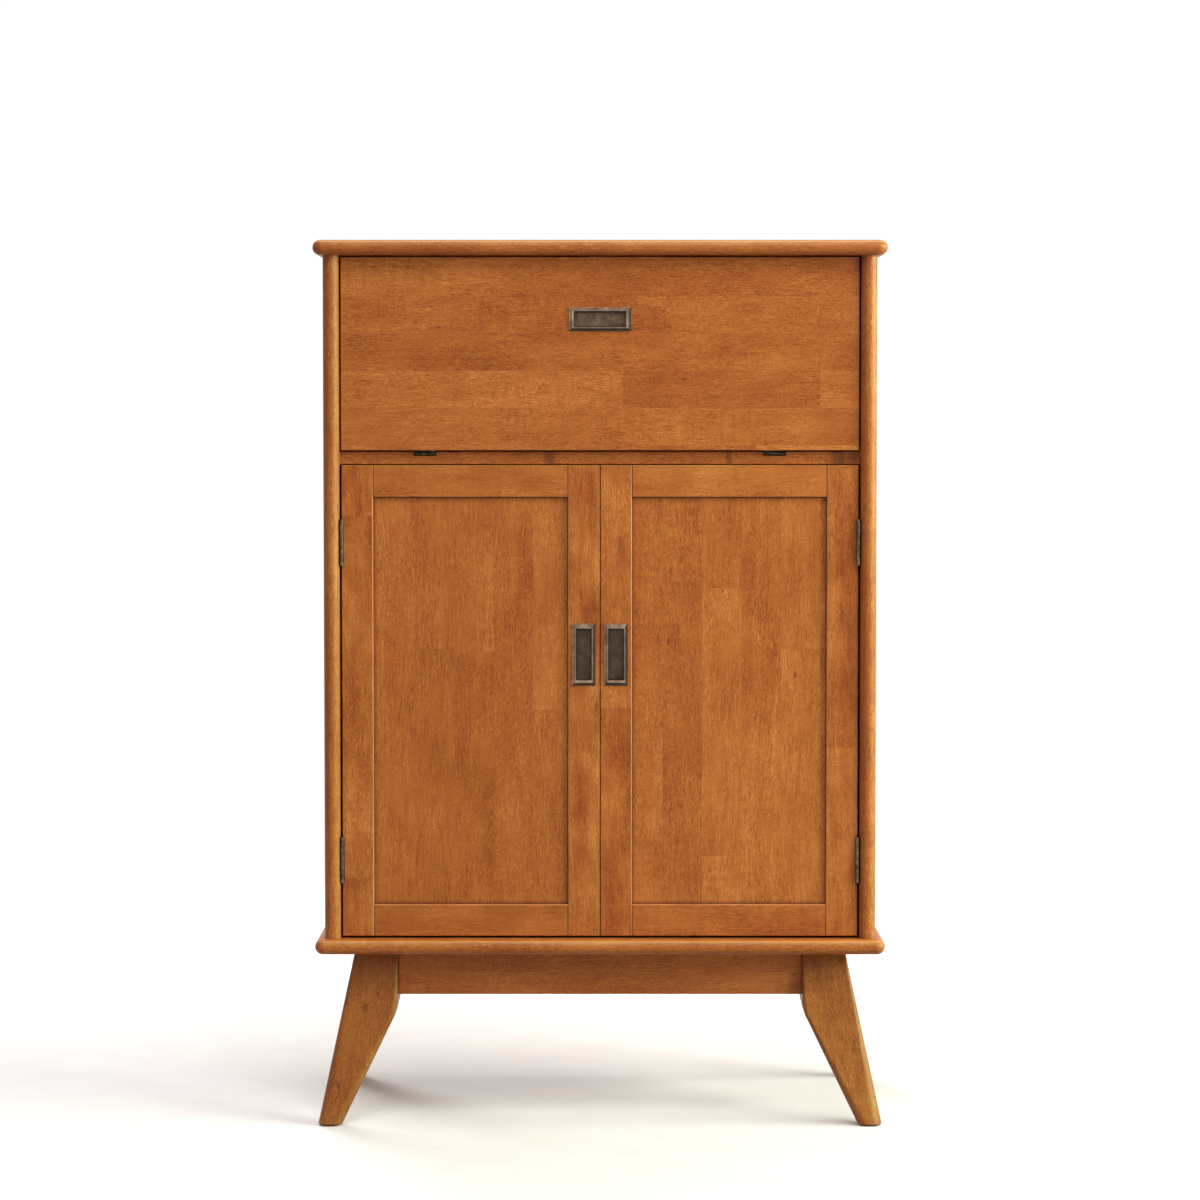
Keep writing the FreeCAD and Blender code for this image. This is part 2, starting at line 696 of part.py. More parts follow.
def door_board(x0, x1, z0, z1):
    return eased_front(block(x0, x1, face_y, door_back, z0, z1), face_y)


def groove_section():
    front = face_y + PANEL_RECESS
    return front, front + PANEL_THICKNESS + GROOVE_PLAY


def panel_opening():
    """Left, right, bottom and top of the opening between the right door's stiles and rails."""
    return (
        door_inner + STILE_WIDTH, door_outer - STILE_WIDTH,
        door_bottom + RAIL_WIDTH, door_top - RAIL_WIDTH,
    )


def hinge_stile():
    edge = door_outer - STILE_WIDTH
    front, back = groove_section()
    groove = block(edge, edge + GROOVE_DEPTH, front, back, door_bottom, door_top)
    return door_board(edge, door_outer, door_bottom, door_top).cut(
        [groove] + screw_bores(door_hinge_screw_places())
    )


def meeting_stile():
    edge = door_inner + STILE_WIDTH
    front, back = groove_section()
    groove = block(edge - GROOVE_DEPTH, edge, front, back, door_bottom, door_top)
    cuts = [groove, meeting_bevel(), on_door(pull_pocket(DOOR_THICKNESS))]
    cuts += screw_bores(door_strike_screw_places())
    return door_board(door_inner, edge, door_bottom, door_top).cut(cuts)


def meeting_bevel():
    """Wedge off the meeting edge, so that its back corner swings past the other door."""
    outline = [
        V(door_inner, face_y, door_bottom), V(door_inner, door_back, door_bottom),
        V(door_inner + MEETING_BEVEL, door_back, door_bottom),
    ]
    return prism(outline, Z_AXIS * (door_top - door_bottom))


def rail(z0, z1, inner_z, inward):
    """Rail with a tenon at each end and a groove along the edge at inner_z that faces inward."""
    left, right, _, _ = panel_opening()
    front, back = groove_section()
    tenon = block(
        left - GROOVE_DEPTH + PANEL_EDGE_GAP, right + GROOVE_DEPTH - PANEL_EDGE_GAP,
        front, back - GROOVE_PLAY, z0, z1,
    )
    bottom, top = sorted((inner_z, inner_z - inward * GROOVE_DEPTH))
    groove = block(left - GROOVE_DEPTH, right + GROOVE_DEPTH, front, back, bottom, top)
    return door_board(left, right, z0, z1).fuse(tenon).cut([groove] + screw_bores(door_strike_screw_places()))


def top_rail():
    _, _, _, top = panel_opening()
    return rail(top, door_top, top, -1)


def bottom_rail():
    _, _, bottom, _ = panel_opening()
    return rail(door_bottom, bottom, bottom, 1)


def door_panel():
    left, right, bottom, top = panel_opening()
    reach = GROOVE_DEPTH - PANEL_EDGE_GAP
    front, back = groove_section()
    return block(left - reach, right + reach, front, back - GROOVE_PLAY, bottom - reach, top + reach)


def door_strike_height():
    """Level with the catch, or as low as the plate still lies on the door."""
    return max(floor_z + CATCH_HEIGHT / 2, door_bottom + STRIKE_WIDTH / 2)


def door_strike():
    plate = strike(CATCH_OFFSET, door_back, door_strike_height())
    return plate.cut(screw_bores(door_strike_screw_places()))


def door_strike_screw_places():
    return strike_screw_places(CATCH_OFFSET, door_back, door_strike_height())


def door_screws():
    fixed = screws(door_hinge_screw_places()) + screws(door_strike_screw_places())
    return fixed + [on_door(piece) for piece in pull_screws(DOOR_THICKNESS)]


# Catches, seated on a slab with the pole plates towards the front


def strike(x, board_back, z):
    """Strike plate on the back of a door or flap, centred on x and z."""
    half_x, half_z = STRIKE_LENGTH / 2, STRIKE_WIDTH / 2
    return block(x - half_x, x + half_x, board_back, board_back + STRIKE_THICKNESS, z - half_z, z + half_z)


def strike_screw_places(x, board_back, z):
    offsets = (-STRIKE_SCREW_OFFSET, STRIKE_SCREW_OFFSET)
    return [(V(x + offset, board_back + STRIKE_THICKNESS, z), -Y_AXIS) for offset in offsets]


def catch_front(board_back):
    return board_back + STRIKE_THICKNESS + STRIKE_GAP


def catch_parts(x, board_back, seat_z, up):
    """Housing and its two pole plates, standing up (1) from a slab or hanging (-1) under one."""
    front = catch_front(board_back) + POLE_PROUD
    rear = front + CATCH_DEPTH
    half, body = CATCH_LENGTH / 2, CATCH_BODY_LENGTH / 2
    low, high = sorted((seat_z, seat_z + up * CATCH_HEIGHT))
    ear_low, ear_high = sorted((seat_z, seat_z + up * CATCH_EAR_THICKNESS))
    housing = block(x - body, x + body, front, rear, low, high)
    housing = housing.fuse(block(x - half, x + half, front, rear, ear_low, ear_high))
    poles = []
    middle = (low + high) / 2
    for offset in (-POLE_SPACING / 2, POLE_SPACING / 2):
        poles.append(block(
            x - POLE_LENGTH / 2, x + POLE_LENGTH / 2,
            front - POLE_PROUD, front + POLE_SINK,
            middle + offset - POLE_THICKNESS / 2, middle + offset + POLE_THICKNESS / 2,
        ))
    return housing.cut(poles), poles


def catch_screw_places(x, board_back, seat_z, up):
    y = catch_front(board_back) + POLE_PROUD + CATCH_DEPTH / 2
    offset = (CATCH_LENGTH + CATCH_BODY_LENGTH) / 4
    z = seat_z + up * CATCH_EAR_THICKNESS
    return [(V(x + side, y, z), Z_AXIS * -up) for side in (-offset, offset)]


def door_catch_screw_places():
    return catch_screw_places(CATCH_OFFSET, door_back, floor_z, 1)


def flap_catch_screw_places():
    return catch_screw_places(0.0, flap_back, ceiling_z, -1)


def catch_housings():
    door = catch_parts(CATCH_OFFSET, door_back, floor_z, 1)[0].cut(screw_bores(door_catch_screw_places()))
    flap = catch_parts(0.0, flap_back, ceiling_z, -1)[0].cut(screw_bores(flap_catch_screw_places()))
    return with_mirror([door]) + [flap]


def catch_poles():
    door = catch_parts(CATCH_OFFSET, door_back, floor_z, 1)[1]
    return with_mirror(door) + catch_parts(0.0, flap_back, ceiling_z, -1)[1]


# Flap


def flap_panel():
    board = block(-flap_edge, flap_edge, face_y, flap_back, flap_bottom, flap_top)
    board = eased_front(board, face_y)
    paired = screw_bores(flap_hinge_screw_places()) + screw_bores(bracket_screw_places())
    cuts = with_mirror(paired) + screw_bores(flap_strike_screw_places())
    return board.cut(cuts + [on_flap(pull_pocket(FLAP_THICKNESS))])


def flap_strike_screw_places():
    return strike_screw_places(0.0, flap_back, ceiling_z - CATCH_HEIGHT / 2)


def flap_strike():
    plate = strike(0.0, flap_back, ceiling_z - CATCH_HEIGHT / 2)
    return plate.cut(screw_bores(flap_strike_screw_places()))


def flap_screws():
    paired = screws(flap_hinge_screw_places()) + screws(bracket_screw_places())
    single = screws(flap_strike_screw_places()) + [on_flap(piece) for piece in pull_screws(FLAP_THICKNESS)]
    return with_mirror(paired) + single


# Flap stays on the right side. The pivot on the flap and the stud on the side panel lie on one circle
# round the flap's hinge, so the arm always turns half as far as the flap.

stay_pivot_y = flap_back + STAY_PIVOT_REACH
stay_pivot_z = flap_axis_z + STAY_PIVOT_RISE
stay_radius = math.hypot(stay_pivot_y - flap_axis_y, STAY_PIVOT_RISE)
stay_stud_y = flap_axis_y + stay_radius * math.sin(math.radians(STAY_STUD_ANGLE))
stay_stud_z = flap_axis_z + stay_radius * math.cos(math.radians(STAY_STUD_ANGLE))
stay_closed = math.hypot(stay_stud_y - stay_pivot_y, stay_stud_z - stay_pivot_z)
stay_closed_turn = 2 * math.asin(stay_closed / (2 * stay_radius))
stay_open = 2 * stay_radius * math.sin((stay_closed_turn + math.radians(FLAP_OPENING)) / 2)
arm_outer = side_inner - STAY_PLATE_THICKNESS - RIVET_HEAD_THICKNESS - STAY_RUNNING_GAP
arm_inner = arm_outer - ARM_THICKNESS
ear_outer = arm_inner - STAY_RUNNING_GAP
ear_inner = ear_outer - BRACKET_THICKNESS


def round_ended(length, width, thickness):
    """Flat bar along X whose round ends are centred on 0 and on length, with its thickness along Z."""
    radius = width / 2
    ends = [Part.makeCylinder(radius, thickness, V(x, 0, 0)) for x in (0, length)]
    return block(0, length, -radius, radius, 0, thickness).fuse(ends).removeSplitter()


def stay_arm():
    bar = round_ended(stay_open + ARM_END, ARM_WIDTH, ARM_THICKNESS)
    slot = round_ended(stay_open - stay_closed, 2 * (STUD_RADIUS + SLOT_PLAY), ARM_THICKNESS)
    slot.translate(X_AXIS * stay_closed)
    eye = Part.makeCylinder(RIVET_RADIUS + FIT, ARM_THICKNESS)
    along = V(0, stay_stud_y - stay_pivot_y, stay_stud_z - stay_pivot_z).normalize()
    return placed(bar.cut([slot, eye]), V(arm_inner, stay_pivot_y, stay_pivot_z), along, X_AXIS.cross(along))


def stay_wall_plate():
    """Plate on the side panel with the shouldered stud that the arm's slot slides along."""
    half_y, half_z = STAY_PLATE_WIDTH / 2, STAY_PLATE_HEIGHT / 2
    inner = side_inner - STAY_PLATE_THICKNESS
    plate = block(
        inner, side_inner,
        stay_stud_y - half_y, stay_stud_y + half_y,
        stay_stud_z - half_z, stay_stud_z + half_z,
    )
    shoulder = V(arm_inner - STAY_RUNNING_GAP, stay_stud_y, stay_stud_z)
    stud = rod(STUD_RADIUS, V(inner, stay_stud_y, stay_stud_z), shoulder)
    head = rod(STUD_HEAD_RADIUS, shoulder, shoulder - X_AXIS * STUD_HEAD_THICKNESS)
    return plate.fuse([stud, head]).cut(screw_bores(stay_plate_screw_places()))


def stay_plate_screw_places():
    x = side_inner - STAY_PLATE_THICKNESS
    offsets = (-STAY_SCREW_OFFSET, STAY_SCREW_OFFSET)
    return [(V(x, stay_stud_y, stay_stud_z + offset), X_AXIS) for offset in offsets]


def stay_bracket():
    """Angle on the back of the flap whose ear carries the arm's rivet."""
    half = BRACKET_HEIGHT / 2
    low, high = stay_pivot_z - half, stay_pivot_z + half
    base = block(ear_outer - BRACKET_WIDTH, ear_outer, flap_back, flap_back + BRACKET_THICKNESS, low, high)
    foot = [V(ear_inner, flap_back, low), V(ear_inner, flap_back, high)]
    radius = ARM_WIDTH / 2
    start = V(ear_inner, stay_pivot_y, stay_pivot_z)
    end = start + X_AXIS * BRACKET_THICKNESS
    web = prism(foot + [start + Z_AXIS * radius, start - Z_AXIS * radius], end - start)
    eye = rod(radius, start, end)
    hole = rod(RIVET_RADIUS + FIT, start, end)
    return base.fuse([web, eye]).cut([hole] + screw_bores(bracket_screw_places()))


def bracket_screw_places():
    x = (ear_outer - BRACKET_WIDTH + ear_inner) / 2
    offsets = (-BRACKET_SCREW_OFFSET, BRACKET_SCREW_OFFSET)
    return [(V(x, flap_back + BRACKET_THICKNESS, stay_pivot_z + offset), -Y_AXIS) for offset in offsets]


def stay_rivet():
    """Rivet with a head against the ear and another just clear of the arm."""
    ear = V(ear_inner, stay_pivot_y, stay_pivot_z)
    far = V(arm_outer + STAY_RUNNING_GAP / 2, stay_pivot_y, stay_pivot_z)
    pin = rod(RIVET_RADIUS, ear, far)
    ear_head = rod(RIVET_HEAD_RADIUS, ear, ear - X_AXIS * RIVET_HEAD_THICKNESS)
    arm_head = rod(RIVET_HEAD_RADIUS, far, far + X_AXIS * RIVET_HEAD_THICKNESS)
    return pin.fuse([ear_head, arm_head])


# Base


def rounded_rectangle(x0, x1, y0, y1, z, radius):
    """Level outline whose corners are quarter circles."""
    centres = [
        (V(x1 - radius, y1 - radius, z), 0), (V(x0 + radius, y1 - radius, z), 90),
        (V(x0 + radius, y0 + radius, z), 180), (V(x1 - radius, y0 + radius, z), 270),
    ]
    corners = []
    for centre, start in centres:
        turns = [math.radians(start + turn) for turn in (0, 45, 90)]
        corners.append([centre + V(math.cos(turn), math.sin(turn)) * radius for turn in turns])
    edges = []
    for corner, following in zip(corners, corners[1:] + corners[:1]):
        edges.append(Part.Arc(*corner).toShape())
        edges.append(Part.LineSegment(corner[-1], following[0]).toShape())
    return Part.Wire(edges)


def leg_section(z, inset=0.0):
    """Outline of the right rear leg at one height: straight outside, upright then raked inside."""
    drop = (BASE_HEIGHT - z) / (BASE_HEIGHT - GLIDE_HEIGHT)
    rake = max(0.0, (LEG_KNEE_HEIGHT - z) / (LEG_KNEE_HEIGHT - GLIDE_HEIGHT))
    ways = (half_width, leg_outer_x, leg_inner_x), (half_depth, leg_outer_y, leg_inner_y)
    bounds = []
    for half, outer, inner in ways:
        foot_outer = half - LEG_FOOT_INSET
        foot_inner = foot_outer - LEG_FOOT_WIDTH
        bounds.append(inner + (foot_inner - inner) * rake + inset)
        bounds.append(outer + (foot_outer - outer) * drop - inset)
    radius = LEG_TOP_RADIUS + (LEG_FOOT_RADIUS - LEG_TOP_RADIUS) * drop
    return rounded_rectangle(*bounds, z, radius - inset)


def leg_blank():
    """Leg at the right rear corner, through its outlines from the top to the rim of the foot."""
    knee = LEG_KNEE_HEIGHT
    heights = (BASE_HEIGHT, knee + LEG_KNEE_EASE, knee - LEG_KNEE_EASE, GLIDE_HEIGHT + FOOT_RIM)
    sections = [leg_section(z) for z in heights] + [leg_section(GLIDE_HEIGHT, FOOT_RIM)]
    return Part.makeLoft(sections, True, True)


def leg(x_sign, y_sign):
    solid = leg_blank().cut([long_tenon(FIT), short_tenon(FIT)] + rear_leg_dowels())
    if x_sign < 0:
        solid = mirrored(solid)
    if y_sign < 0:
        solid = solid.mirror(V(0, 0, 0), Y_AXIS)
    return solid


def rear_leg_dowels():
    return [piece.mirror(V(0, 0, 0), Y_AXIS) for piece in leg_dowels(FIT)]


def long_tenon(grow=0.0):
    """Tenon of the rear apron, in the right rear leg."""
    rear = leg_outer_y - APRON_SETBACK
    middle = rear - APRON_THICKNESS / 2
    half = TENON_THICKNESS / 2 + grow
    return block(
        leg_inner_x, leg_inner_x + TENON_LENGTH + grow, middle - half, middle + half,
        apron_bottom + TENON_SHOULDER - grow, BASE_HEIGHT - TENON_SHOULDER + grow,
    )


def short_tenon(grow=0.0):
    """Tenon of the right apron, in the right rear leg."""
    middle = leg_outer_x - APRON_SETBACK - APRON_THICKNESS / 2
    half = TENON_THICKNESS / 2 + grow
    return block(
        middle - half, middle + half, leg_inner_y, leg_inner_y + TENON_LENGTH + grow,
        apron_bottom + TENON_SHOULDER - grow, BASE_HEIGHT - TENON_SHOULDER + grow,
    )


def rear_apron():
    rear = leg_outer_y - APRON_SETBACK
    board = block(-leg_inner_x, leg_inner_x, rear - APRON_THICKNESS, rear, apron_bottom, BASE_HEIGHT)
    return board.fuse(with_mirror([long_tenon()])).removeSplitter()


def right_apron():
    outer = leg_outer_x - APRON_SETBACK
    board = block(outer - APRON_THICKNESS, outer, -leg_inner_y, leg_inner_y, apron_bottom, BASE_HEIGHT)
    tenons = [short_tenon(), short_tenon().mirror(V(0, 0, 0), Y_AXIS)]
    return board.fuse(tenons).removeSplitter()


def cleat_back():
    return leg_outer_y - APRON_SETBACK - APRON_THICKNESS


def cleat_screw_places():
    y = cleat_back() - CLEAT_SIZE / 2
    z = BASE_HEIGHT - CLEAT_SIZE
    half = CLEAT_LENGTH / 2 - CLEAT_SCREW_EDGE
    xs = spread(-half, half, CLEAT_SCREWS)
    return [(V(x, y * side, z), Z_AXIS) for x in xs for side in (-1, 1)]


def base_cleats():
    half = CLEAT_LENGTH / 2
    rear = block(-half, half, cleat_back() - CLEAT_SIZE, cleat_back(), BASE_HEIGHT - CLEAT_SIZE, BASE_HEIGHT)
    bores = screw_bores(cleat_screw_places(), CLEAT_SCREW_LENGTH)
    return [rear.cut(bores), rear.mirror(V(0, 0, 0), Y_AXIS).cut(bores)]


def foot_glide():
    x = half_width - LEG_FOOT_INSET - LEG_FOOT_WIDTH / 2
    y = half_depth - LEG_FOOT_INSET - LEG_FOOT_WIDTH / 2
    return Part.makeCylinder(GLIDE_RADIUS, GLIDE_HEIGHT, V(x, -y, 0))


# Every node, as a list of its solids


def door_nodes():
    """Right door's nodes, without the side in their names."""
    return {
        "door_hinge_stile": [hinge_stile()],
        "door_meeting_stile": [meeting_stile()],
        "door_top_rail": [top_rail()],
        "door_bottom_rail": [bottom_rail()],
        "door_panel": [door_panel()],
        "door_pull": [on_door(pull())],
        "door_hinge_leaves": door_moving_leaves(),
        "door_frame_leaves": door_frame_leaves(),
        "door_strike": [door_strike()],
        "door_screws": door_screws(),
    }


def case_nodes():
    wall_screws = screws(frame_hinge_screw_places()) + screws(shelf_hinge_screw_places())
    wall_screws += screws(stay_plate_screw_places()) + screws(door_catch_screw_places())
    back_screws = with_mirror(screws(back_side_screw_places(), BACK_SCREW_LENGTH))
    return {
        "top_slab": [top_slab()],
        "bottom_slab": [bottom_slab()],
        "fixed_shelf": [fixed_shelf()],
        "back_panel": [back_panel()],
        "back_panel_screws": back_screws + screws(back_shelf_screw_places(), BACK_SCREW_LENGTH),
        "adjustable_shelf": [adjustable_shelf()],
        "shelf_pins": with_mirror(shelf_pins()),
        "carcass_dowels": with_mirror(side_dowels(1) + side_dowels(-1)),
        "flap_shelf_leaves": with_mirror([flap_shelf_leaf()]),
        "door_hinge_pins": with_mirror(door_hinge_pins()),
        "flap_hinge_pins": with_mirror([flap_hinge_pin()]),
        "hardware_screws": with_mirror(wall_screws) + screws(flap_catch_screw_places()),
        "stay_wall_plates": with_mirror([stay_wall_plate()]),
        "catch_housings": catch_housings(),
        "catch_poles": catch_poles(),
    }


def flap_nodes():
    return {
        "flap_panel": [flap_panel()],
        "flap_pull": [on_flap(pull())],
        "flap_hinge_leaves": with_mirror([flap_moving_leaf()]),
        "flap_screws": flap_screws(),
        "flap_strike": [flap_strike()],
        "stay_brackets": with_mirror([stay_bracket()]),
        "stay_rivets": with_mirror([stay_rivet()]),
    }


def base_nodes():
    rear = rear_apron()
    return {
        "front_apron": [rear.mirror(V(0, 0, 0), Y_AXIS)],
        "rear_apron": [rear],
        "front_left_leg": [leg(-1, -1)],
        "front_right_leg": [leg(1, -1)],
        "rear_left_leg": [leg(-1, 1)],
        "rear_right_leg": [leg(1, 1)],
        "leg_dowels": four_corners(leg_dowels()),
        "base_cleats": base_cleats(),
        "base_cleat_screws": screws(cleat_screw_places(), CLEAT_SCREW_LENGTH),
        "foot_glides": four_corners([foot_glide()]),
    }


def handed_nodes():
    """Nodes that exist on the right and, mirrored, on the left."""
    right = {"side_panel": [side_panel()], "stay_arm": [stay_arm()], "apron": [right_apron()]}
    right.update(door_nodes())
    nodes = {}
    for name, solids in right.items():
        nodes["right_" + name] = solids
        nodes["left_" + name] = [mirrored(solid) for solid in solids]
    return nodes


def main():
    os.makedirs("parts", exist_ok=True)
    nodes = {**case_nodes(), **base_nodes(), **flap_nodes(), **handed_nodes()}
    for name, solids in nodes.items():
        shape = solids[0] if len(solids) == 1 else Part.makeCompound(solids)
        shape.exportStep(os.path.join("parts", name + ".step"))


main()
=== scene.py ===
import math

import bpy
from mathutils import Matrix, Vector

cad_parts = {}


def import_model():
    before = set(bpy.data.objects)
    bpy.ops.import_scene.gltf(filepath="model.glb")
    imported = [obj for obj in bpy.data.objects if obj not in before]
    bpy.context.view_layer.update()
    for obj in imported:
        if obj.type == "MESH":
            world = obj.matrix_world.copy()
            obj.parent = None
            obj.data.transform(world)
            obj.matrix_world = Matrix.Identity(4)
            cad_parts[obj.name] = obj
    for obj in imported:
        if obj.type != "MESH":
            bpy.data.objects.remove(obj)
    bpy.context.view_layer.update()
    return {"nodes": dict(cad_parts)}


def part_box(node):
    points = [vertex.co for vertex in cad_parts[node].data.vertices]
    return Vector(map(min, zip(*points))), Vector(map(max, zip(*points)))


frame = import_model()
nodes = frame["nodes"]

# Photograph's camera: metres, pixels of a square image, radians
CAMERA_PLACE = (0.0, -4.94, 0.941)
CAMERA_PITCH = 0.0495
FOCAL_PIXELS = 3575.0
IMAGE_PIXELS = 1200.0
SENSOR_MM = 36.0
CLIP_END = 50.0

# Front face of the doors and the flap, and half the opening of a pull's dish, metres
FACE_Y = -0.177
DISH_HALF_LENGTH = 0.034
DISH_HALF_WIDTH = 0.010


def linear(red, green, blue):
    """Linear colour of an sRGB one given in 0 to 255."""
    parts = []
    for value in (red, green, blue):
        value /= 255.0
        parts.append(value / 12.92 if value <= 0.04045 else ((value + 0.055) / 1.055) ** 2.4)
    return (*parts, 1.0)


class Graph:
    """Short calls that build one material's nodes."""

    def __init__(self, name):
        self.material = bpy.data.materials.new(name)
        self.material.use_nodes = True
        self.tree = self.material.node_tree
        self.tree.nodes.clear()
        self.shader = self.node("ShaderNodeBsdfPrincipled")
        self.output = self.node("ShaderNodeOutputMaterial")
        self.tree.links.new(self.shader.outputs["BSDF"], self.output.inputs["Surface"])

    def put(self, socket, value):
        if isinstance(value, bpy.types.NodeSocket):
            self.tree.links.new(value, socket)
        else:
            socket.default_value = value

    def node(self, kind, inputs=None, **settings):
        node = self.tree.nodes.new(kind)
        for key, value in settings.items():
            setattr(node, key, value)
        for key, value in (inputs or {}).items():
            self.put(node.inputs[key], value)
        return node

    def math(self, operation, first, second=0.0):
        node = self.node("ShaderNodeMath", operation=operation)
        for socket, value in zip(node.inputs, (first, second)):
            self.put(socket, value)
        return node.outputs[0]

    def add(self, first, second):
        return self.math("ADD", first, second)

    def times(self, first, second):
        return self.math("MULTIPLY", first, second)

    def gap(self, first, second):
        """Distance of a socket's value from a number."""
        return self.math("ABSOLUTE", self.add(first, -second))

    def vector(self, x, y, z):
        return self.node("ShaderNodeCombineXYZ", {"X": x, "Y": y, "Z": z}).outputs[0]

    def split(self, output):
        """One output of the texture coordinates as three sockets, X, Y and Z."""
        coords = self.node("ShaderNodeTexCoord").outputs[output]
        parts = self.node("ShaderNodeSeparateXYZ", {"Vector": coords}).outputs
        return {axis: parts[axis] for axis in "XYZ"}

    def place(self):
        return self.split("Object")

    def facing(self):
        return self.split("Normal")

    def scaled(self, place, scale, axis=None, axis_scale=None):
        """Place times a scale, which may differ along one axis."""
        parts = [self.times(place[key], axis_scale if key == axis else scale) for key in "XYZ"]
        return self.vector(*parts)

    def noise(self, vector, detail=2.0, roughness=0.5):
        inputs = {"Vector": vector, "Scale": 1.0, "Detail": detail, "Roughness": roughness}
        return self.node("ShaderNodeTexNoise", inputs).outputs["Fac"]

    def random(self, vector):
        """Three random values that are the same all over one cell."""
        cells = self.node("ShaderNodeTexWhiteNoise", {"Vector": vector}, noise_dimensions="3D")
        parts = self.node("ShaderNodeSeparateColor", {"Color": cells.outputs["Color"]}).outputs
        return parts["Red"], parts["Green"], parts["Blue"]

    def smooth(self, value, low, high, to_low=0.0, to_high=1.0):
        inputs = {"Value": value, "From Min": low, "From Max": high, "To Min": to_low, "To Max": to_high}
        node = self.node("ShaderNodeMapRange", inputs, interpolation_type="SMOOTHSTEP")
        return node.outputs["Result"]

    def openness(self, distance):
        """1 in the open, and less where other surfaces stand nearer than the distance."""
        return self.node("ShaderNodeAmbientOcclusion", {"Distance": distance}, samples=6).outputs["AO"]

    def mix(self, factor, first, second, blend="MIX"):
        node = self.node("ShaderNodeMix", data_type="RGBA", blend_type=blend)
        self.put(node.inputs["Factor"], factor)
        self.put(node.inputs[6], first)
        self.put(node.inputs[7], second)
        return node.outputs[2]

    def tinted(self, colour, tint):
        return self.mix(1.0, colour, tint, "MULTIPLY")

    def ramp(self, value, stops):
        node = self.node("ShaderNodeValToRGB", {"Fac": value})
        elements = node.color_ramp.elements
        while len(elements) < len(stops):
            elements.new(0.5)
        for element, (position, colour) in zip(elements, stops):
            element.position = position
            element.color = colour
        return node.outputs["Color"]

    def finish(self, colour, roughness, metallic=0.0, height=None, bump=0.1, distance=0.001, **sockets):
        inputs = self.shader.inputs
        self.put(inputs["Base Color"], colour)
        self.put(inputs["Roughness"], roughness)
        inputs["Metallic"].default_value = metallic
        for key, value in sockets.items():
            self.put(inputs[key.replace("_", " ")], value)
        if height is not None:
            node = self.node("ShaderNodeBump", {"Strength": bump, "Distance": distance, "Height": height})
            self.tree.links.new(node.outputs["Normal"], inputs["Normal"])
        return self.material


# Wood: staves glued side by side and butted end to end, each with its own piece of grain

DEEP = linear(126, 57, 12)
DARK = linear(150, 76, 23)
MIDDLE = linear(171, 97, 37)
LIGHT = linear(190, 115, 53)
PALE = linear(212, 142, 74)
TONES = ((0.0, DEEP), (0.26, DARK), (0.5, MIDDLE), (0.74, LIGHT), (1.0, PALE))
PORE = linear(108, 48, 12)
KNOT = linear(88, 40, 14)
# Pale edges: partly wear, and partly a painted highlight along rounded upper edges and arrises
WEAR_AND_HIGHLIGHT = linear(220, 154, 92)
# Dark colour of painted shade along panel borders, and of seam lines that partly paint shade
DARK_SEAM_AND_SHADE = linear(74, 32, 10)
# Painted shade, near black, in crevices and gaps
PAINTED_CREVICE_SHADE = linear(16, 7, 3)

# Tints of the rounded edges: a painted golden highlight towards the right and top, and painted shade towards
# the left and bottom
PAINTED_HIGHLIGHT_TINT = (0.96, 1.32, 1.30, 1)
PAINTED_SHADE_TINT = (0.88, 0.80, 0.76, 1)
UPWARD_SHARE = 0.7

# Layers of grain: features per metre along and across the fibres, octaves, and share of the tone
GRAIN = {
    "cloud": (13.0, 22.0, 3.0, 0.62),
    "band": (6.0, 70.0, 3.0, 0.34),
    "streak": (22.0, 260.0, 2.0, 0.24),
    "dash": (105.0, 760.0, 1.0, 0.60),
    "speck": (430.0, 700.0, 0.0, 0.52),
    "fibre": (34.0, 1500.0, 0.0, 0.34),
    "ripple": (150.0, 24.0, 1.0, 0.26),
}
BROAD_LAYERS = ("cloud", "band")
PORES_ALONG = 105
PORES_ACROSS = 640

# Shifts that keep rows of staves, pieces in a row and woods with other seeds apart
ROW_SHIFT = 0.37
ROW_SALT = 3.7
RUN_SHIFT = 23.7

# Painted shade along borders, dark seams that partly paint shade, and pale arrises that are partly wear and
# partly painted highlight: distances where each starts and is full, metres, and its full share
PAINTED_SHADE_BAND = (0.0065, 0.0015, 0.40)
PAINTED_SHADE_LINE = (0.0022, 0.0007, 0.70)
SEAM_LINE_AND_SHADE = (0.0018, 0.0005, 0.75)
ARRIS_WIDTH = 0.0013

# Finish: reach of the painted shade in crevices in metres, gloss, and what a level top dulled by use adds or
# has instead
CREVICE_DEPTH = 0.006
WOOD_ROUGHNESS = 0.36
WOOD_SPECULAR = 0.28
DULL_ROUGHNESS = 0.25
DULL_SPECULAR = 0.05


def edge_share(g, distance, start, full, share):
    return g.smooth(distance, start, full, 0.0, share)


def arris(g, place, edges):
    """1 along the given edges of the doors' front face, and 0 further than a width from them."""
    nearest = 1.0
    for axis, position in edges:
        nearest = g.math("MINIMUM", nearest, g.gap(place[axis], position))
    depth = g.gap(place["Y"], FACE_Y)
    return g.smooth(g.math("MAXIMUM", depth, nearest), ARRIS_WIDTH, 0.3 * ARRIS_WIDTH)


def border(g, place, opening):
    """Painted shade along the left and lower border of an upright opening, and a thin line of painted shade
    along all four.
    """
    (left, right), (bottom, top) = opening
    near = g.math("MINIMUM", g.add(place["X"], -left), g.add(place["Z"], -bottom))
    far = g.math("MINIMUM", g.math("SUBTRACT", right, place["X"]), g.math("SUBTRACT", top, place["Z"]))
    stain = edge_share(g, near, *PAINTED_SHADE_BAND)
    line = edge_share(g, g.math("MINIMUM", near, far), *PAINTED_SHADE_LINE)
    return g.math("MAXIMUM", stain, line)


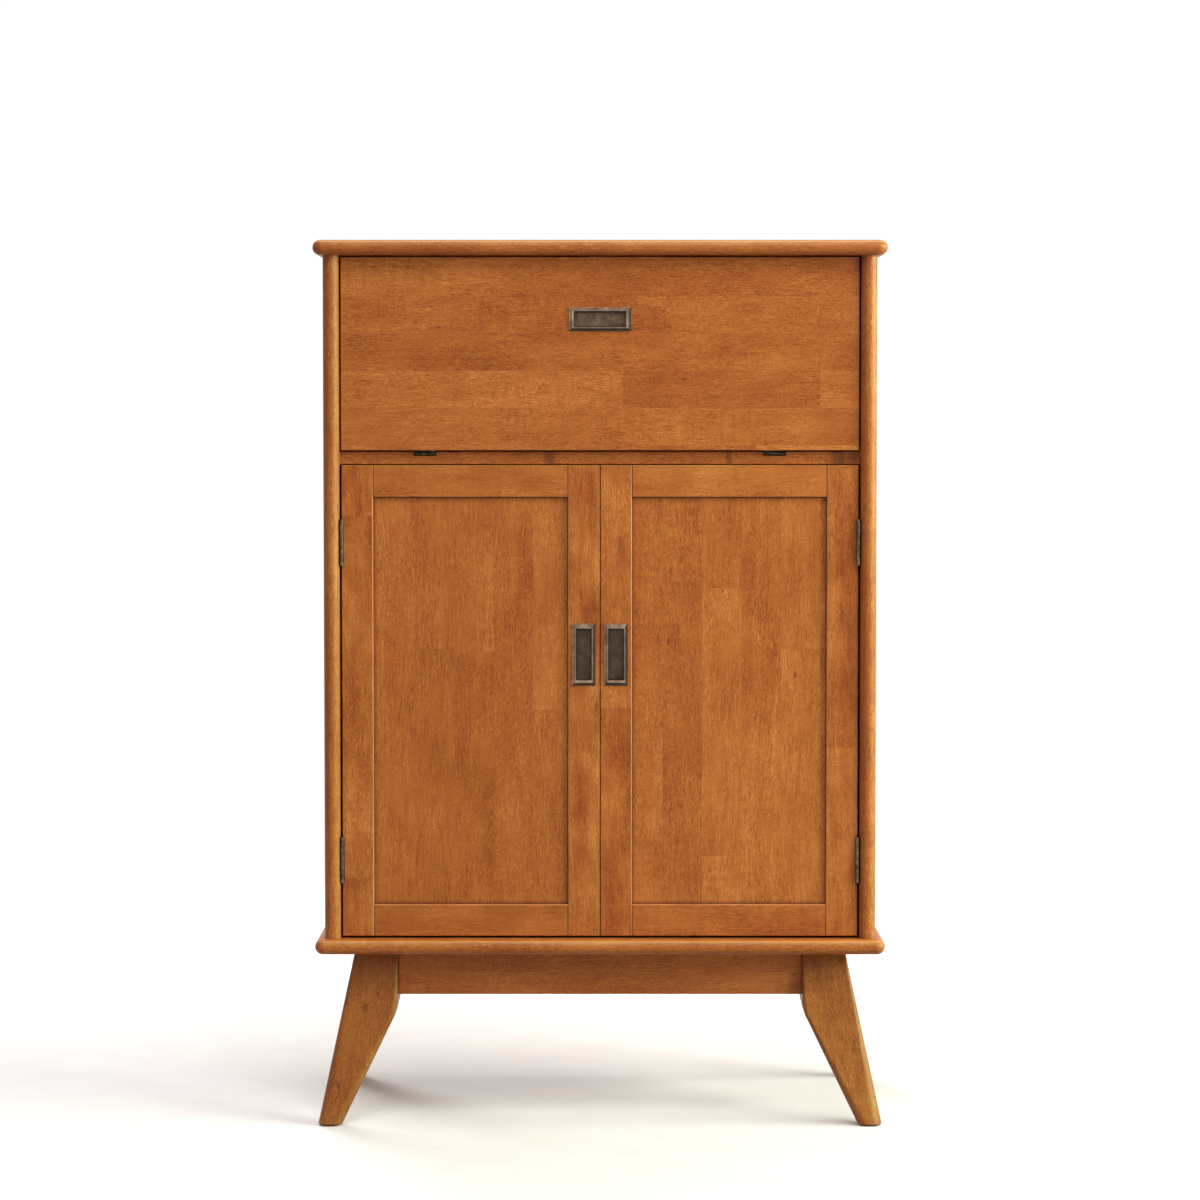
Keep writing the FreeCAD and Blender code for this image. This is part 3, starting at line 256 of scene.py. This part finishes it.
def upper_edge(g):
    """1 along a thin line near the top of a rounded front edge."""
    facing = g.facing()
    low = g.smooth(facing["Z"], 0.60, 0.72)
    high = g.smooth(facing["Z"], 0.93, 0.85)
    return g.times(g.times(low, high), g.smooth(facing["Y"], -0.1, -0.25))


def level_top(g):
    """1 on faces that look straight up, and 0 on the rounded edges round them."""
    return g.smooth(g.facing()["Z"], 0.90, 0.98)


def rounding(g):
    """How far a rounded front edge turns to the right and top, or, below 0, to the left and bottom."""
    facing = g.facing()
    sideways = g.add(facing["X"], g.times(facing["Z"], UPWARD_SHARE))
    return g.times(g.times(facing["Y"], -2.0), sideways)


def lay_staves(g, along, across, seed, stave, length):
    """Places across and along a board, counted in staves and in pieces, and three chances of each piece."""
    rows = g.add(g.times(across, 1.0 / stave), seed * ROW_SHIFT) if stave else None
    row = g.math("FLOOR", rows) if stave else 0.0
    row_chance, row_shift, _ = g.random(g.vector(row, seed, ROW_SALT))
    pieces_per_metre = g.times(g.add(g.times(row_chance, 0.6), 0.7), 1.0 / length)
    run = g.add(g.times(along, pieces_per_metre), g.times(row_shift, RUN_SHIFT))
    return rows, run, g.random(g.vector(row, g.math("FLOOR", run), seed))


def lay_fibres(g, along, across, through, chances):
    """Places along, across and through the fibres, which sway and tilt in their own way in each piece."""
    one, two, three = chances
    swaying = g.vector(
        g.add(g.times(along, 4.0), g.times(one, 40.0)), g.times(across, 9.0), g.times(through, 9.0),
    )
    sway = g.times(g.noise(swaying, 1.0), 0.022)
    tilt = g.times(g.add(three, -0.5), 0.08)
    shifted = g.add(g.add(across, g.times(two, 5.0)), g.times(along, tilt))
    return g.add(along, g.times(one, 9.0)), g.add(shifted, sway), g.add(through, g.times(three, 3.0))


def part_round_knots(g, along, across, fibre_across, knots):
    """Share of heartwood in knots, and the place across the fibres where they part round the knots."""
    heart = 0.0
    for knot_along, knot_across, radius in knots:
        reach = g.vector(g.times(g.add(along, -knot_along), 0.45), g.add(across, -knot_across), 0.0)
        away = g.node("ShaderNodeVectorMath", {0: reach}, operation="LENGTH").outputs["Value"]
        heart = g.math("MAXIMUM", heart, g.smooth(away, 1.3 * radius, 0.3 * radius))
        fibre_across = g.add(fibre_across, g.smooth(away, 5.0 * radius, radius, 0.0, 1.6 * radius))
    return heart, fibre_across


def grain_tone(g, fibres, chances, patch, contrast, mottle, lift, step):
    """Tone of the wood in 0 to 1, and the layer of dashes for its gloss and bump."""
    along, across, through = fibres
    one, two, _ = chances
    fields = {}
    tone = g.add(0.5 + lift, g.times(g.add(one, -0.5), step * contrast))
    for layer, (lengthwise, crosswise, octaves, weight) in GRAIN.items():
        stretched = g.vector(
            g.times(along, lengthwise), g.times(across, crosswise), g.times(through, crosswise),
        )
        fields[layer] = g.noise(stretched, octaves, 0.55)
        share = weight * contrast * (mottle if layer in BROAD_LAYERS else 1.0)
        if layer == "ripple":
            share = g.times(g.smooth(two, 0.45, 0.9), share)
        if layer == "dash":
            share = g.smooth(patch, 0.36, 0.62, 0.45 * share, 1.35 * share)
        tone = g.add(tone, g.times(g.add(fields[layer], -0.5), share))
    return tone, fields["dash"]


def wood(
    name, along, across, seed, stave=None, length=0.42, contrast=1.0, mottle=1.0, lift=0.0, lean=0.0,
    step=0.11, tint=(1, 1, 1, 1), knots=(), edges=(), opening=None, ends=(), painted_top_highlight=0.0,
    dull_top=False,
):
    """Honey stained hardwood. stave is the width of one stave, or None for a board of a single stave.

    length is the mean length of a piece in a stave and step how far pieces differ in tone. contrast
    scales all of the grain, mottle its broad layers alone, and lift brightens it. With lean, the fibres
    follow a splayed leg. Each of the knots has a place along and across the fibres and a radius, in
    metres. The front edges that are given by axis and place are pale, partly worn and partly a painted
    highlight, and a highlight is painted along a rounded upper edge in the share given for the top.
    Shade is painted along the border of opening, and the dark lines at seams at the ends partly paint
    shade. With dull_top the level upper face has lost its gloss.
    """
    g = Graph(name)
    raw = g.place()
    place = dict(raw)
    if lean:
        for axis in "XY":
            place[axis] = g.add(g.math("ABSOLUTE", raw[axis]), g.times(raw["Z"], lean))
    through = ({"X", "Y", "Z"} - {along, across}).pop()
    rows, run, chances = lay_staves(g, place[along], place[across], seed, stave, length)
    fibre_along, fibre_across, fibre_through = lay_fibres(
        g, place[along], place[across], place[through], chances,
    )
    heart, fibre_across = part_round_knots(g, raw[along], raw[across], fibre_across, knots)
    fibres = fibre_along, fibre_across, fibre_through
    patch = g.noise(
        g.vector(g.times(fibre_along, 17), g.times(fibre_across, 31), g.add(fibre_through, 4.0)), 2.0,
    )
    tone, dashes = grain_tone(g, fibres, chances, patch, contrast, mottle, lift, step)
    colour = g.ramp(tone, TONES)

    pore_place = g.vector(
        g.times(fibre_along, PORES_ALONG), g.times(fibre_across, PORES_ACROSS),
        g.times(fibre_through, PORES_ACROSS),
    )
    pores = g.times(
        g.smooth(g.noise(pore_place, 1.0), 0.60, 0.72), g.smooth(patch, 0.40, 0.62, 0.15, 1.0),
    )
    colour = g.mix(g.times(pores, 0.55), colour, PORE)
    if knots:
        colour = g.mix(g.times(heart, 0.62), colour, KNOT)
    if stave:
        glue_line = g.gap(g.math("FRACT", rows), 0.5)
        colour = g.mix(g.smooth(glue_line, 0.49, 0.5, 0.0, 0.12), colour, DEEP)
    butt_joint = g.gap(g.math("FRACT", run), 0.5)
    colour = g.mix(g.smooth(butt_joint, 0.4975, 0.5, 0.0, 0.20), colour, DEEP)

    colour = g.tinted(colour, tint)
    # Painted light and shade: a golden highlight on rounded edges turned right and up, shade on those turned
    # left and down
    turn = rounding(g)
    colour = g.mix(g.smooth(turn, 0.15, 0.85), colour, g.tinted(colour, PAINTED_HIGHLIGHT_TINT))
    colour = g.mix(g.smooth(turn, -0.25, -0.95), colour, g.tinted(colour, PAINTED_SHADE_TINT))
    # Painted shade along the border of the opening
    if opening:
        colour = g.mix(border(g, raw, opening), colour, DARK_SEAM_AND_SHADE)
    # Dark seam lines, partly painted shade where the parts meet
    for end in ends:
        colour = g.mix(edge_share(g, g.gap(raw[along], end), *SEAM_LINE_AND_SHADE), colour, DARK_SEAM_AND_SHADE)
    # Painted highlight along the rounded upper edge
    if painted_top_highlight:
        colour = g.mix(g.times(upper_edge(g), painted_top_highlight), colour, WEAR_AND_HIGHLIGHT)
    # Pale arrises, partly wear and partly painted highlight
    if edges:
        worn = g.times(arris(g, raw, edges), g.smooth(patch, 0.30, 0.60, 0.40, 0.80))
        colour = g.mix(worn, colour, WEAR_AND_HIGHLIGHT)
    # Painted shade, near black, in crevices and gaps
    colour = g.mix(g.smooth(g.openness(CREVICE_DEPTH), 0.46, 0.20, 0.0, 0.95), colour, PAINTED_CREVICE_SHADE)

    roughness = g.add(g.add(WOOD_ROUGHNESS, g.times(dashes, 0.16)), g.times(pores, 0.10))
    specular = WOOD_SPECULAR
    if dull_top:
        dulled = level_top(g)
        roughness = g.add(roughness, g.times(dulled, DULL_ROUGHNESS))
        specular = g.add(WOOD_SPECULAR, g.times(dulled, DULL_SPECULAR - WOOD_SPECULAR))
    height = g.add(g.times(dashes, 0.5), g.times(pores, -0.6))
    return g.finish(
        colour, roughness, height=height, bump=0.08, distance=0.0006,
        Specular_IOR_Level=specular, Coat_Weight=0.04, Coat_Roughness=0.30,
    )


# Metals and plastics

# Patina of the pulls: places on a ramp and sRGB colours
DISH_TONES = ((0.36, (62, 48, 37)), (0.52, (80, 64, 50)), (0.66, (99, 81, 64)))
FRAME_TONES = ((0.36, (98, 80, 64)), (0.50, (132, 110, 91)), (0.64, (166, 142, 120)))
# Painted shade on the bevels of the pulls that face right and down
BEVEL_SHADE = linear(40, 32, 24)
BRONZE_SPECK = linear(58, 46, 34)
# Painted shade round the rim of a pull's dish
DISH_RIM_SHADE = linear(36, 28, 20)
FLANGE_WIDTH = 0.0020
# Painted shade of metal in crevices and gaps
METAL_CREVICE_SHADE = linear(12, 8, 6)

# Stained metals: dark, middle and light tone
DOOR_HINGE_TONES = (linear(52, 43, 34), linear(90, 76, 62), linear(146, 127, 106))
FLAP_HINGE_TONES = (linear(24, 19, 13), linear(54, 45, 32), linear(116, 100, 74))
STEEL_TONES = (linear(120, 120, 118), linear(168, 168, 166), linear(204, 204, 202))
SCREW_TONES = (linear(92, 84, 70), linear(138, 128, 110), linear(178, 168, 150))


def bronze_pull(name, box, upright, wear):
    """Antique bronze: rubbed bright on the raised frame, dark in the dish, painted shade on right and lower
    bevels.

    wear brightens the floor of the dish.
    """
    g = Graph(name)
    place = g.place()
    low, high = box
    x = g.gap(place["X"], (low[0] + high[0]) / 2)
    z = g.gap(place["Z"], (low[2] + high[2]) / 2)
    long, short = (z, x) if upright else (x, z)
    rim = g.math("MAXIMUM", g.add(long, -DISH_HALF_LENGTH), g.add(short, -DISH_HALF_WIDTH))
    flange = g.math(
        "MAXIMUM", g.add(place["X"], FLANGE_WIDTH - high[0]),
        g.math("SUBTRACT", low[2] + FLANGE_WIDTH, place["Z"]),
    )
    raised = g.smooth(place["Y"], FACE_Y - 0.0002, FACE_Y - 0.0014)
    facing = g.facing()
    # Painted shade on bevels facing right and down, and on the outer flange at the right and bottom
    shaded = g.smooth(g.add(g.times(facing["X"], 0.9), g.times(facing["Z"], -1.0)), 0.12, 0.62)
    shaded = g.math("MAXIMUM", shaded, g.smooth(flange, 0.0, 0.0006, 0.0, 0.9))

    cloud = g.noise(g.scaled(place, 85), 3.0, 0.55)
    blotch = g.noise(g.scaled(place, 330), 3.0, 0.6)
    speck = g.noise(g.scaled(place, 1100), 2.0)
    stroke = g.noise(g.scaled(place, 1500, "Z" if upright else "X", 60), 2.0)
    worn = g.add(g.times(cloud, 0.55), g.add(g.times(blotch, 0.25), g.times(stroke, 0.20)))
    dish_stops = [(stop, linear(*(wear * tone for tone in tones))) for stop, tones in DISH_TONES]
    frame_stops = [(stop, linear(*tones)) for stop, tones in FRAME_TONES]
    colour = g.mix(raised, g.ramp(worn, dish_stops), g.ramp(worn, frame_stops))
    colour = g.mix(g.times(shaded, 0.92), colour, BEVEL_SHADE)
    colour = g.mix(g.times(g.smooth(speck, 0.60, 0.75), 0.22), colour, BRONZE_SPECK)
    # Painted shade, a dark line round the rim of the dish
    rim_shade = g.smooth(g.gap(rim, -0.0002), 0.0, 0.0011, 0.80, 0.0)
    colour = g.mix(rim_shade, colour, DISH_RIM_SHADE)
    roughness = g.add(0.36, g.times(worn, 0.28))
    height = g.add(g.times(speck, 0.35), blotch)
    return g.finish(colour, roughness, 0.82, height, 0.10, 0.0008)


def metal(name, tones, roughness, brushed_axis=None, crevice=0.0):
    """Metal with stains and fine strokes along one axis, or with no direction.

    Painted shade makes it black where other pieces stand nearer than crevice, in metres.
    """
    g = Graph(name)
    place = g.place()
    dark, middle, light = tones
    blotch = g.noise(g.scaled(place, 160), 4.0, 0.6)
    stroke = g.noise(g.scaled(place, 1100, brushed_axis, 45), 2.0)
    value = g.add(g.times(blotch, 0.6), g.times(stroke, 0.4))
    colour = g.ramp(value, [(0.34, dark), (0.50, middle), (0.66, light)])
    # Painted shade, black, in gaps near other pieces
    if crevice:
        colour = g.mix(g.smooth(g.openness(crevice), 0.92, 0.45, 0.0, 0.94), colour, METAL_CREVICE_SHADE)
    rough = g.add(roughness - 0.08, g.times(stroke, 0.16))
    return g.finish(colour, rough, 0.95, g.add(stroke, g.times(blotch, 0.5)), 0.12, 0.0005)


def plastic(name, dark, light, roughness):
    """Moulded plastic with a fine spark-eroded grain."""
    g = Graph(name)
    place = g.place()
    grain = g.noise(g.scaled(place, 1400), 2.0)
    cloud = g.noise(g.scaled(place, 90), 3.0)
    colour = g.ramp(g.add(g.times(grain, 0.4), g.times(cloud, 0.6)), [(0.35, dark), (0.65, light)])
    return g.finish(colour, g.add(roughness - 0.05, g.times(grain, 0.1)), 0.0, grain, 0.2, 0.0003)


def paint(material, *names):
    for name in names:
        slots = nodes[name].data.materials
        slots.clear()
        slots.append(material)


# Woods of the case, the doors and the base

# Directions of the grain
SLAB_GRAIN = {"along": "X", "across": "Y"}
SIDE_GRAIN = {"along": "Z", "across": "Y"}
UPRIGHT_GRAIN = {"along": "Z", "across": "X"}
LEVEL_GRAIN = {"along": "X", "across": "Z"}

# Boards by kind: width of staves and length of pieces in metres, and kind of grain
SLAB = {"stave": 0.068, "length": 0.46, **SLAB_GRAIN}
SIDE = {"stave": 0.066, "length": 0.40, **SIDE_GRAIN}
SHELF = {"stave": 0.068, **SLAB_GRAIN}
FLAP = {"stave": 0.0495, "length": 0.30, "contrast": 1.08, "step": 0.24, "mottle": 0.85, **LEVEL_GRAIN}
BACK = {"stave": 0.18, "length": 1.6, "contrast": 0.8, "lift": -0.03, **UPRIGHT_GRAIN}
PANEL = {"stave": 0.0525, "length": 0.40, "step": 0.16, **UPRIGHT_GRAIN}
STILE = {"length": 0.45, "mottle": 2.0, **UPRIGHT_GRAIN}
RAIL = {"length": 0.5, "contrast": 0.75, "mottle": 1.4, **LEVEL_GRAIN}
LEG = {"length": 9.0, "lean": 0.2, "contrast": 1.15, **UPRIGHT_GRAIN}
# The long aprons are lifted lighter: painted light against the shade under the bottom slab
LONG_APRON = {"length": 0.24, "step": 0.26, "lift": 0.05, **LEVEL_GRAIN}
SHORT_APRON = {"length": 0.6, "along": "Y", "across": "Z"}
DOWEL = {"length": 9.0, "lift": 0.2, "tint": (1.2, 1.35, 1.6, 1), **UPRIGHT_GRAIN}

# Tints. The top slab and the fixed shelf are a little darker and redder than the case. Legs are tinted
# deeper than the case, partly as painted shade, the left ones redder and darker still as painted shade
TOP_TINT = (0.92, 0.89, 0.86, 1)
SHELF_TINT = (0.93, 0.88, 0.84, 1)
LEG_SHADE_TINTS = {"left": (0.735, 0.77, 0.64, 1), "right": (0.75, 0.84, 0.71, 1)}

# Knots that show from the front, by piece: place along and across the fibres and radius, metres
KNOTS = {
    "front_left_leg": ((0.156, -0.316, 0.0036), (0.054, -0.351, 0.0024)),
    "fixed_shelf": ((-0.068, -0.166, 0.0040), (0.172, -0.166, 0.0022), (0.318, -0.166, 0.0050)),
    "flap_panel": ((0.112, 0.999, 0.0019), (-0.2145, 1.068, 0.0016)),
    "right_door_panel": ((0.717, 0.164, 0.0016), (0.649, 0.092, 0.0026), (0.605, 0.261, 0.0022)),
}


def dress_case():
    top = wood("slab_top", seed=1.0, tint=TOP_TINT, painted_top_highlight=0.75, dull_top=True, **SLAB)
    paint(top, "top_slab")
    paint(wood("slab_bottom", seed=2.0, painted_top_highlight=0.45, **SLAB), "bottom_slab")
    paint(wood("side_left", seed=3.0, **SIDE), "left_side_panel")
    paint(wood("side_right", seed=4.0, **SIDE), "right_side_panel")
    shelf = wood("shelf_fixed", seed=5.0, tint=SHELF_TINT, knots=KNOTS["fixed_shelf"], **SHELF)
    paint(shelf, "fixed_shelf")
    paint(wood("shelf_loose", seed=6.0, **SHELF), "adjustable_shelf")
    paint(wood("flap_face", seed=7.0, knots=KNOTS["flap_panel"], **FLAP), "flap_panel")
    paint(wood("back_face", seed=8.0, **BACK), "back_panel")


def dress_door(side, seed):
    """Panel, frame, hinges and pull of one door."""
    door = side + "_door_"
    names = ("hinge_stile", "meeting_stile", "top_rail", "bottom_rail")
    boxes = {name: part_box(door + name) for name in names}
    stiles = names[:2] if side == "left" else names[1::-1]
    left_stile, right_stile = (boxes[name] for name in stiles)
    across = (left_stile[1][0], right_stile[0][0])
    upward = (boxes["bottom_rail"][1][2], boxes["top_rail"][0][2])
    knots = KNOTS.get(door + "panel", ())
    panel = wood(door + "panel", seed=seed, knots=knots, opening=(across, upward), **PANEL)
    paint(panel, door + "panel")
    inner_edges = [("X", edge) for edge in across]
    paint(wood(door + "stile_h", seed=seed + 1, edges=inner_edges, **STILE), door + "hinge_stile")
    paint(wood(door + "stile_m", seed=seed + 2, edges=inner_edges, **STILE), door + "meeting_stile")
    # The top rail is lifted a little lighter and the bottom rail darker: painted light and shade, falling
    # off downwards
    paint(wood(door + "rail_t", seed=seed + 3, lift=0.03, ends=across, **RAIL), door + "top_rail")
    sill = [("Z", upward[0])]
    lower = wood(door + "rail_b", seed=seed + 4, lift=-0.06, ends=across, edges=sill, **RAIL)
    paint(lower, door + "bottom_rail")
    hinge = metal(side + "_hinge", DOOR_HINGE_TONES, 0.24, "Z", crevice=0.004)
    paint(hinge, door + "hinge_leaves", door + "frame_leaves")
    paint(bronze_pull(door + "pull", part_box(door + "pull"), True, 1.0), door + "pull")


def dress_base_side(side, seed):
    """Two legs and the apron between them."""
    for end, leg_seed in (("front", seed + 5), ("rear", seed + 6)):
        name = "%s_%s_leg" % (end, side)
        # Leg tints are partly painted shade, more on the left legs
        paint(wood(name, seed=leg_seed, tint=LEG_SHADE_TINTS[side], knots=KNOTS.get(name, ()), **LEG), name)
    paint(wood(side + "_apron", seed=seed + 7, **SHORT_APRON), side + "_apron")


def dress_long_apron(end, seed):
    ends = [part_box("%s_left_leg" % end)[1][0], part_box("%s_right_leg" % end)[0][0]]
    paint(wood(end + "_apron", seed=seed, ends=ends, **LONG_APRON), end + "_apron")


def dress_hardware():
    paint(bronze_pull("flap_pull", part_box("flap_pull"), False, 1.22), "flap_pull")
    dark_bronze = metal("flap_hinge", FLAP_HINGE_TONES, 0.30, "X", crevice=0.006)
    paint(dark_bronze, "flap_hinge_leaves", "flap_shelf_leaves", "flap_hinge_pins", "door_hinge_pins")
    steel = metal("plated_steel", STEEL_TONES, 0.32, "Y")
    paint(steel, "left_stay_arm", "right_stay_arm", "stay_wall_plates", "stay_brackets", "stay_rivets")
    paint(steel, "left_door_strike", "right_door_strike", "flap_strike", "catch_poles", "shelf_pins")
    screw_steel = metal("screw_steel", SCREW_TONES, 0.36)
    paint(screw_steel, "back_panel_screws", "hardware_screws", "flap_screws", "base_cleat_screws")
    paint(screw_steel, "left_door_screws", "right_door_screws")
    paint(plastic("catch_plastic", linear(104, 100, 94), linear(136, 132, 124), 0.5), "catch_housings")
    paint(plastic("glide_plastic", linear(34, 30, 26), linear(52, 46, 40), 0.55), "foot_glides")
    paint(wood("dowel_wood", seed=40.0, **DOWEL), "carcass_dowels", "leg_dowels", "base_cleats")


# Floor, light and camera

# Floor: radius and where it starts and ends to fade in metres, colours that show, and colour of its bounce
FLOOR_RADIUS = 3.2
FLOOR_FADE = (0.7, 2.9)
FLOOR_TONES = ((0.3, (0.86, 0.855, 0.85, 1)), (0.7, (0.90, 0.895, 0.89, 1)))
FLOOR_BOUNCE = (0.34, 0.31, 0.28, 1)

# Sky: colour, and heights between which its level rises from the ground's to its own
SKY_COLOUR = (1.0, 0.91, 0.87, 1)
HORIZON = (-0.15, 0.35)


def floor():
    """Pale round floor that fades out, so that only the white background is left behind it."""
    bpy.ops.mesh.primitive_circle_add(vertices=96, radius=FLOOR_RADIUS, fill_type="NGON", location=(0, 0, 0))
    disc = bpy.context.object
    disc.name = "floor"
    g = Graph("pale_floor")
    place = g.place()
    seen = g.ramp(g.noise(g.scaled(place, 14), 4.0), FLOOR_TONES)
    path = g.node("ShaderNodeLightPath").outputs
    direct = g.math("MAXIMUM", path["Is Camera Ray"], path["Is Glossy Ray"])
    g.finish(g.mix(direct, FLOOR_BOUNCE, seen), 0.65, Specular_IOR_Level=0.2)
    away = g.math("SQRT", g.add(g.math("POWER", place["X"], 2.0), g.math("POWER", place["Y"], 2.0)))
    clear = g.node("ShaderNodeBsdfTransparent").outputs[0]
    faded = g.smooth(away, *FLOOR_FADE)
    blend = g.node("ShaderNodeMixShader", {0: faded, 1: g.shader.outputs["BSDF"], 2: clear})
    g.tree.links.new(blend.outputs[0], g.output.inputs["Surface"])
    disc.data.materials.append(g.material)


def world(above, below):
    """White to the camera and in reflections. The rest of the light is a grey sky over a darker ground."""
    sky = bpy.data.worlds.new("studio")
    bpy.context.scene.world = sky
    sky.use_nodes = True
    tree = sky.node_tree
    tree.nodes.clear()

    def node(kind, *links):
        made = tree.nodes.new(kind)
        for index, socket in links:
            tree.links.new(socket, made.inputs[index])
        return made

    path = node("ShaderNodeLightPath")
    split = node("ShaderNodeSeparateXYZ", (0, node("ShaderNodeTexCoord").outputs["Generated"]))
    level = node("ShaderNodeMapRange", (0, split.outputs["Z"]))
    for socket, value in zip(level.inputs[1:5], (*HORIZON, below, above)):
        socket.default_value = value
    plain = node("ShaderNodeBackground", (1, level.outputs[0]))
    plain.inputs["Color"].default_value = SKY_COLOUR
    white = node("ShaderNodeBackground")
    white.inputs["Color"].default_value = (1, 1, 1, 1)
    seen = path.outputs["Is Camera Ray"]
    for ray in ("Is Glossy Ray", "Is Transmission Ray"):
        either = node("ShaderNodeMath", (0, seen), (1, path.outputs[ray]))
        either.operation = "MAXIMUM"
        seen = either.outputs[0]
    blend = node("ShaderNodeMixShader", (0, seen), (1, plain.outputs[0]), (2, white.outputs[0]))
    node("ShaderNodeOutputWorld", (0, blend.outputs[0]))


def area_light(name, place, aim, size, power, colour=(1, 1, 1), mirrored=True):
    """Soft lamp aimed at a point. Gloss shows its image only where it is mirrored."""
    data = bpy.data.lights.new(name, "AREA")
    data.shape = "RECTANGLE"
    data.size, data.size_y = size
    data.energy = power
    data.color = colour
    light = bpy.data.objects.new(name, data)
    bpy.context.scene.collection.objects.link(light)
    light.location = place
    light.visible_glossy = mirrored
    light.rotation_euler = (Vector(aim) - Vector(place)).to_track_quat("-Z", "Y").to_euler()


def camera():
    data = bpy.data.cameras.new("camera")
    data.sensor_width = SENSOR_MM
    data.lens = FOCAL_PIXELS / IMAGE_PIXELS * SENSOR_MM
    data.clip_end = CLIP_END
    eye = bpy.data.objects.new("camera", data)
    bpy.context.scene.collection.objects.link(eye)
    eye.location = CAMERA_PLACE
    eye.rotation_euler = (math.pi / 2 - CAMERA_PITCH, 0.0, 0.0)
    bpy.context.scene.camera = eye


dress_case()
for side, seed in (("left", 10.0), ("right", 20.0)):
    dress_door(side, seed)
    dress_base_side(side, seed)
dress_long_apron("front", 31.0)
dress_long_apron("rear", 32.0)
dress_hardware()

floor()
world(0.38, 0.13)
area_light("side", (3.2, -1.2, 1.6), (0.0, -0.1, 0.75), (3.2, 1.3), 192.0, (0.96, 1.0, 0.84))
area_light("front", (0.3, -2.6, 4.2), (0.0, 0.0, 0.7), (1.8, 1.4), 77.0)
area_light("top", (0.0, 0.3, 3.6), (0.0, 0.0, 0.6), (2.4, 1.6), 16.0)
area_light("rear", (-1.5, 3.2, 1.7), (0.0, 0.2, 0.65), (1.6, 1.6), 110.0, mirrored=False)
camera()
bpy.context.scene.view_settings.view_transform = "Standard"
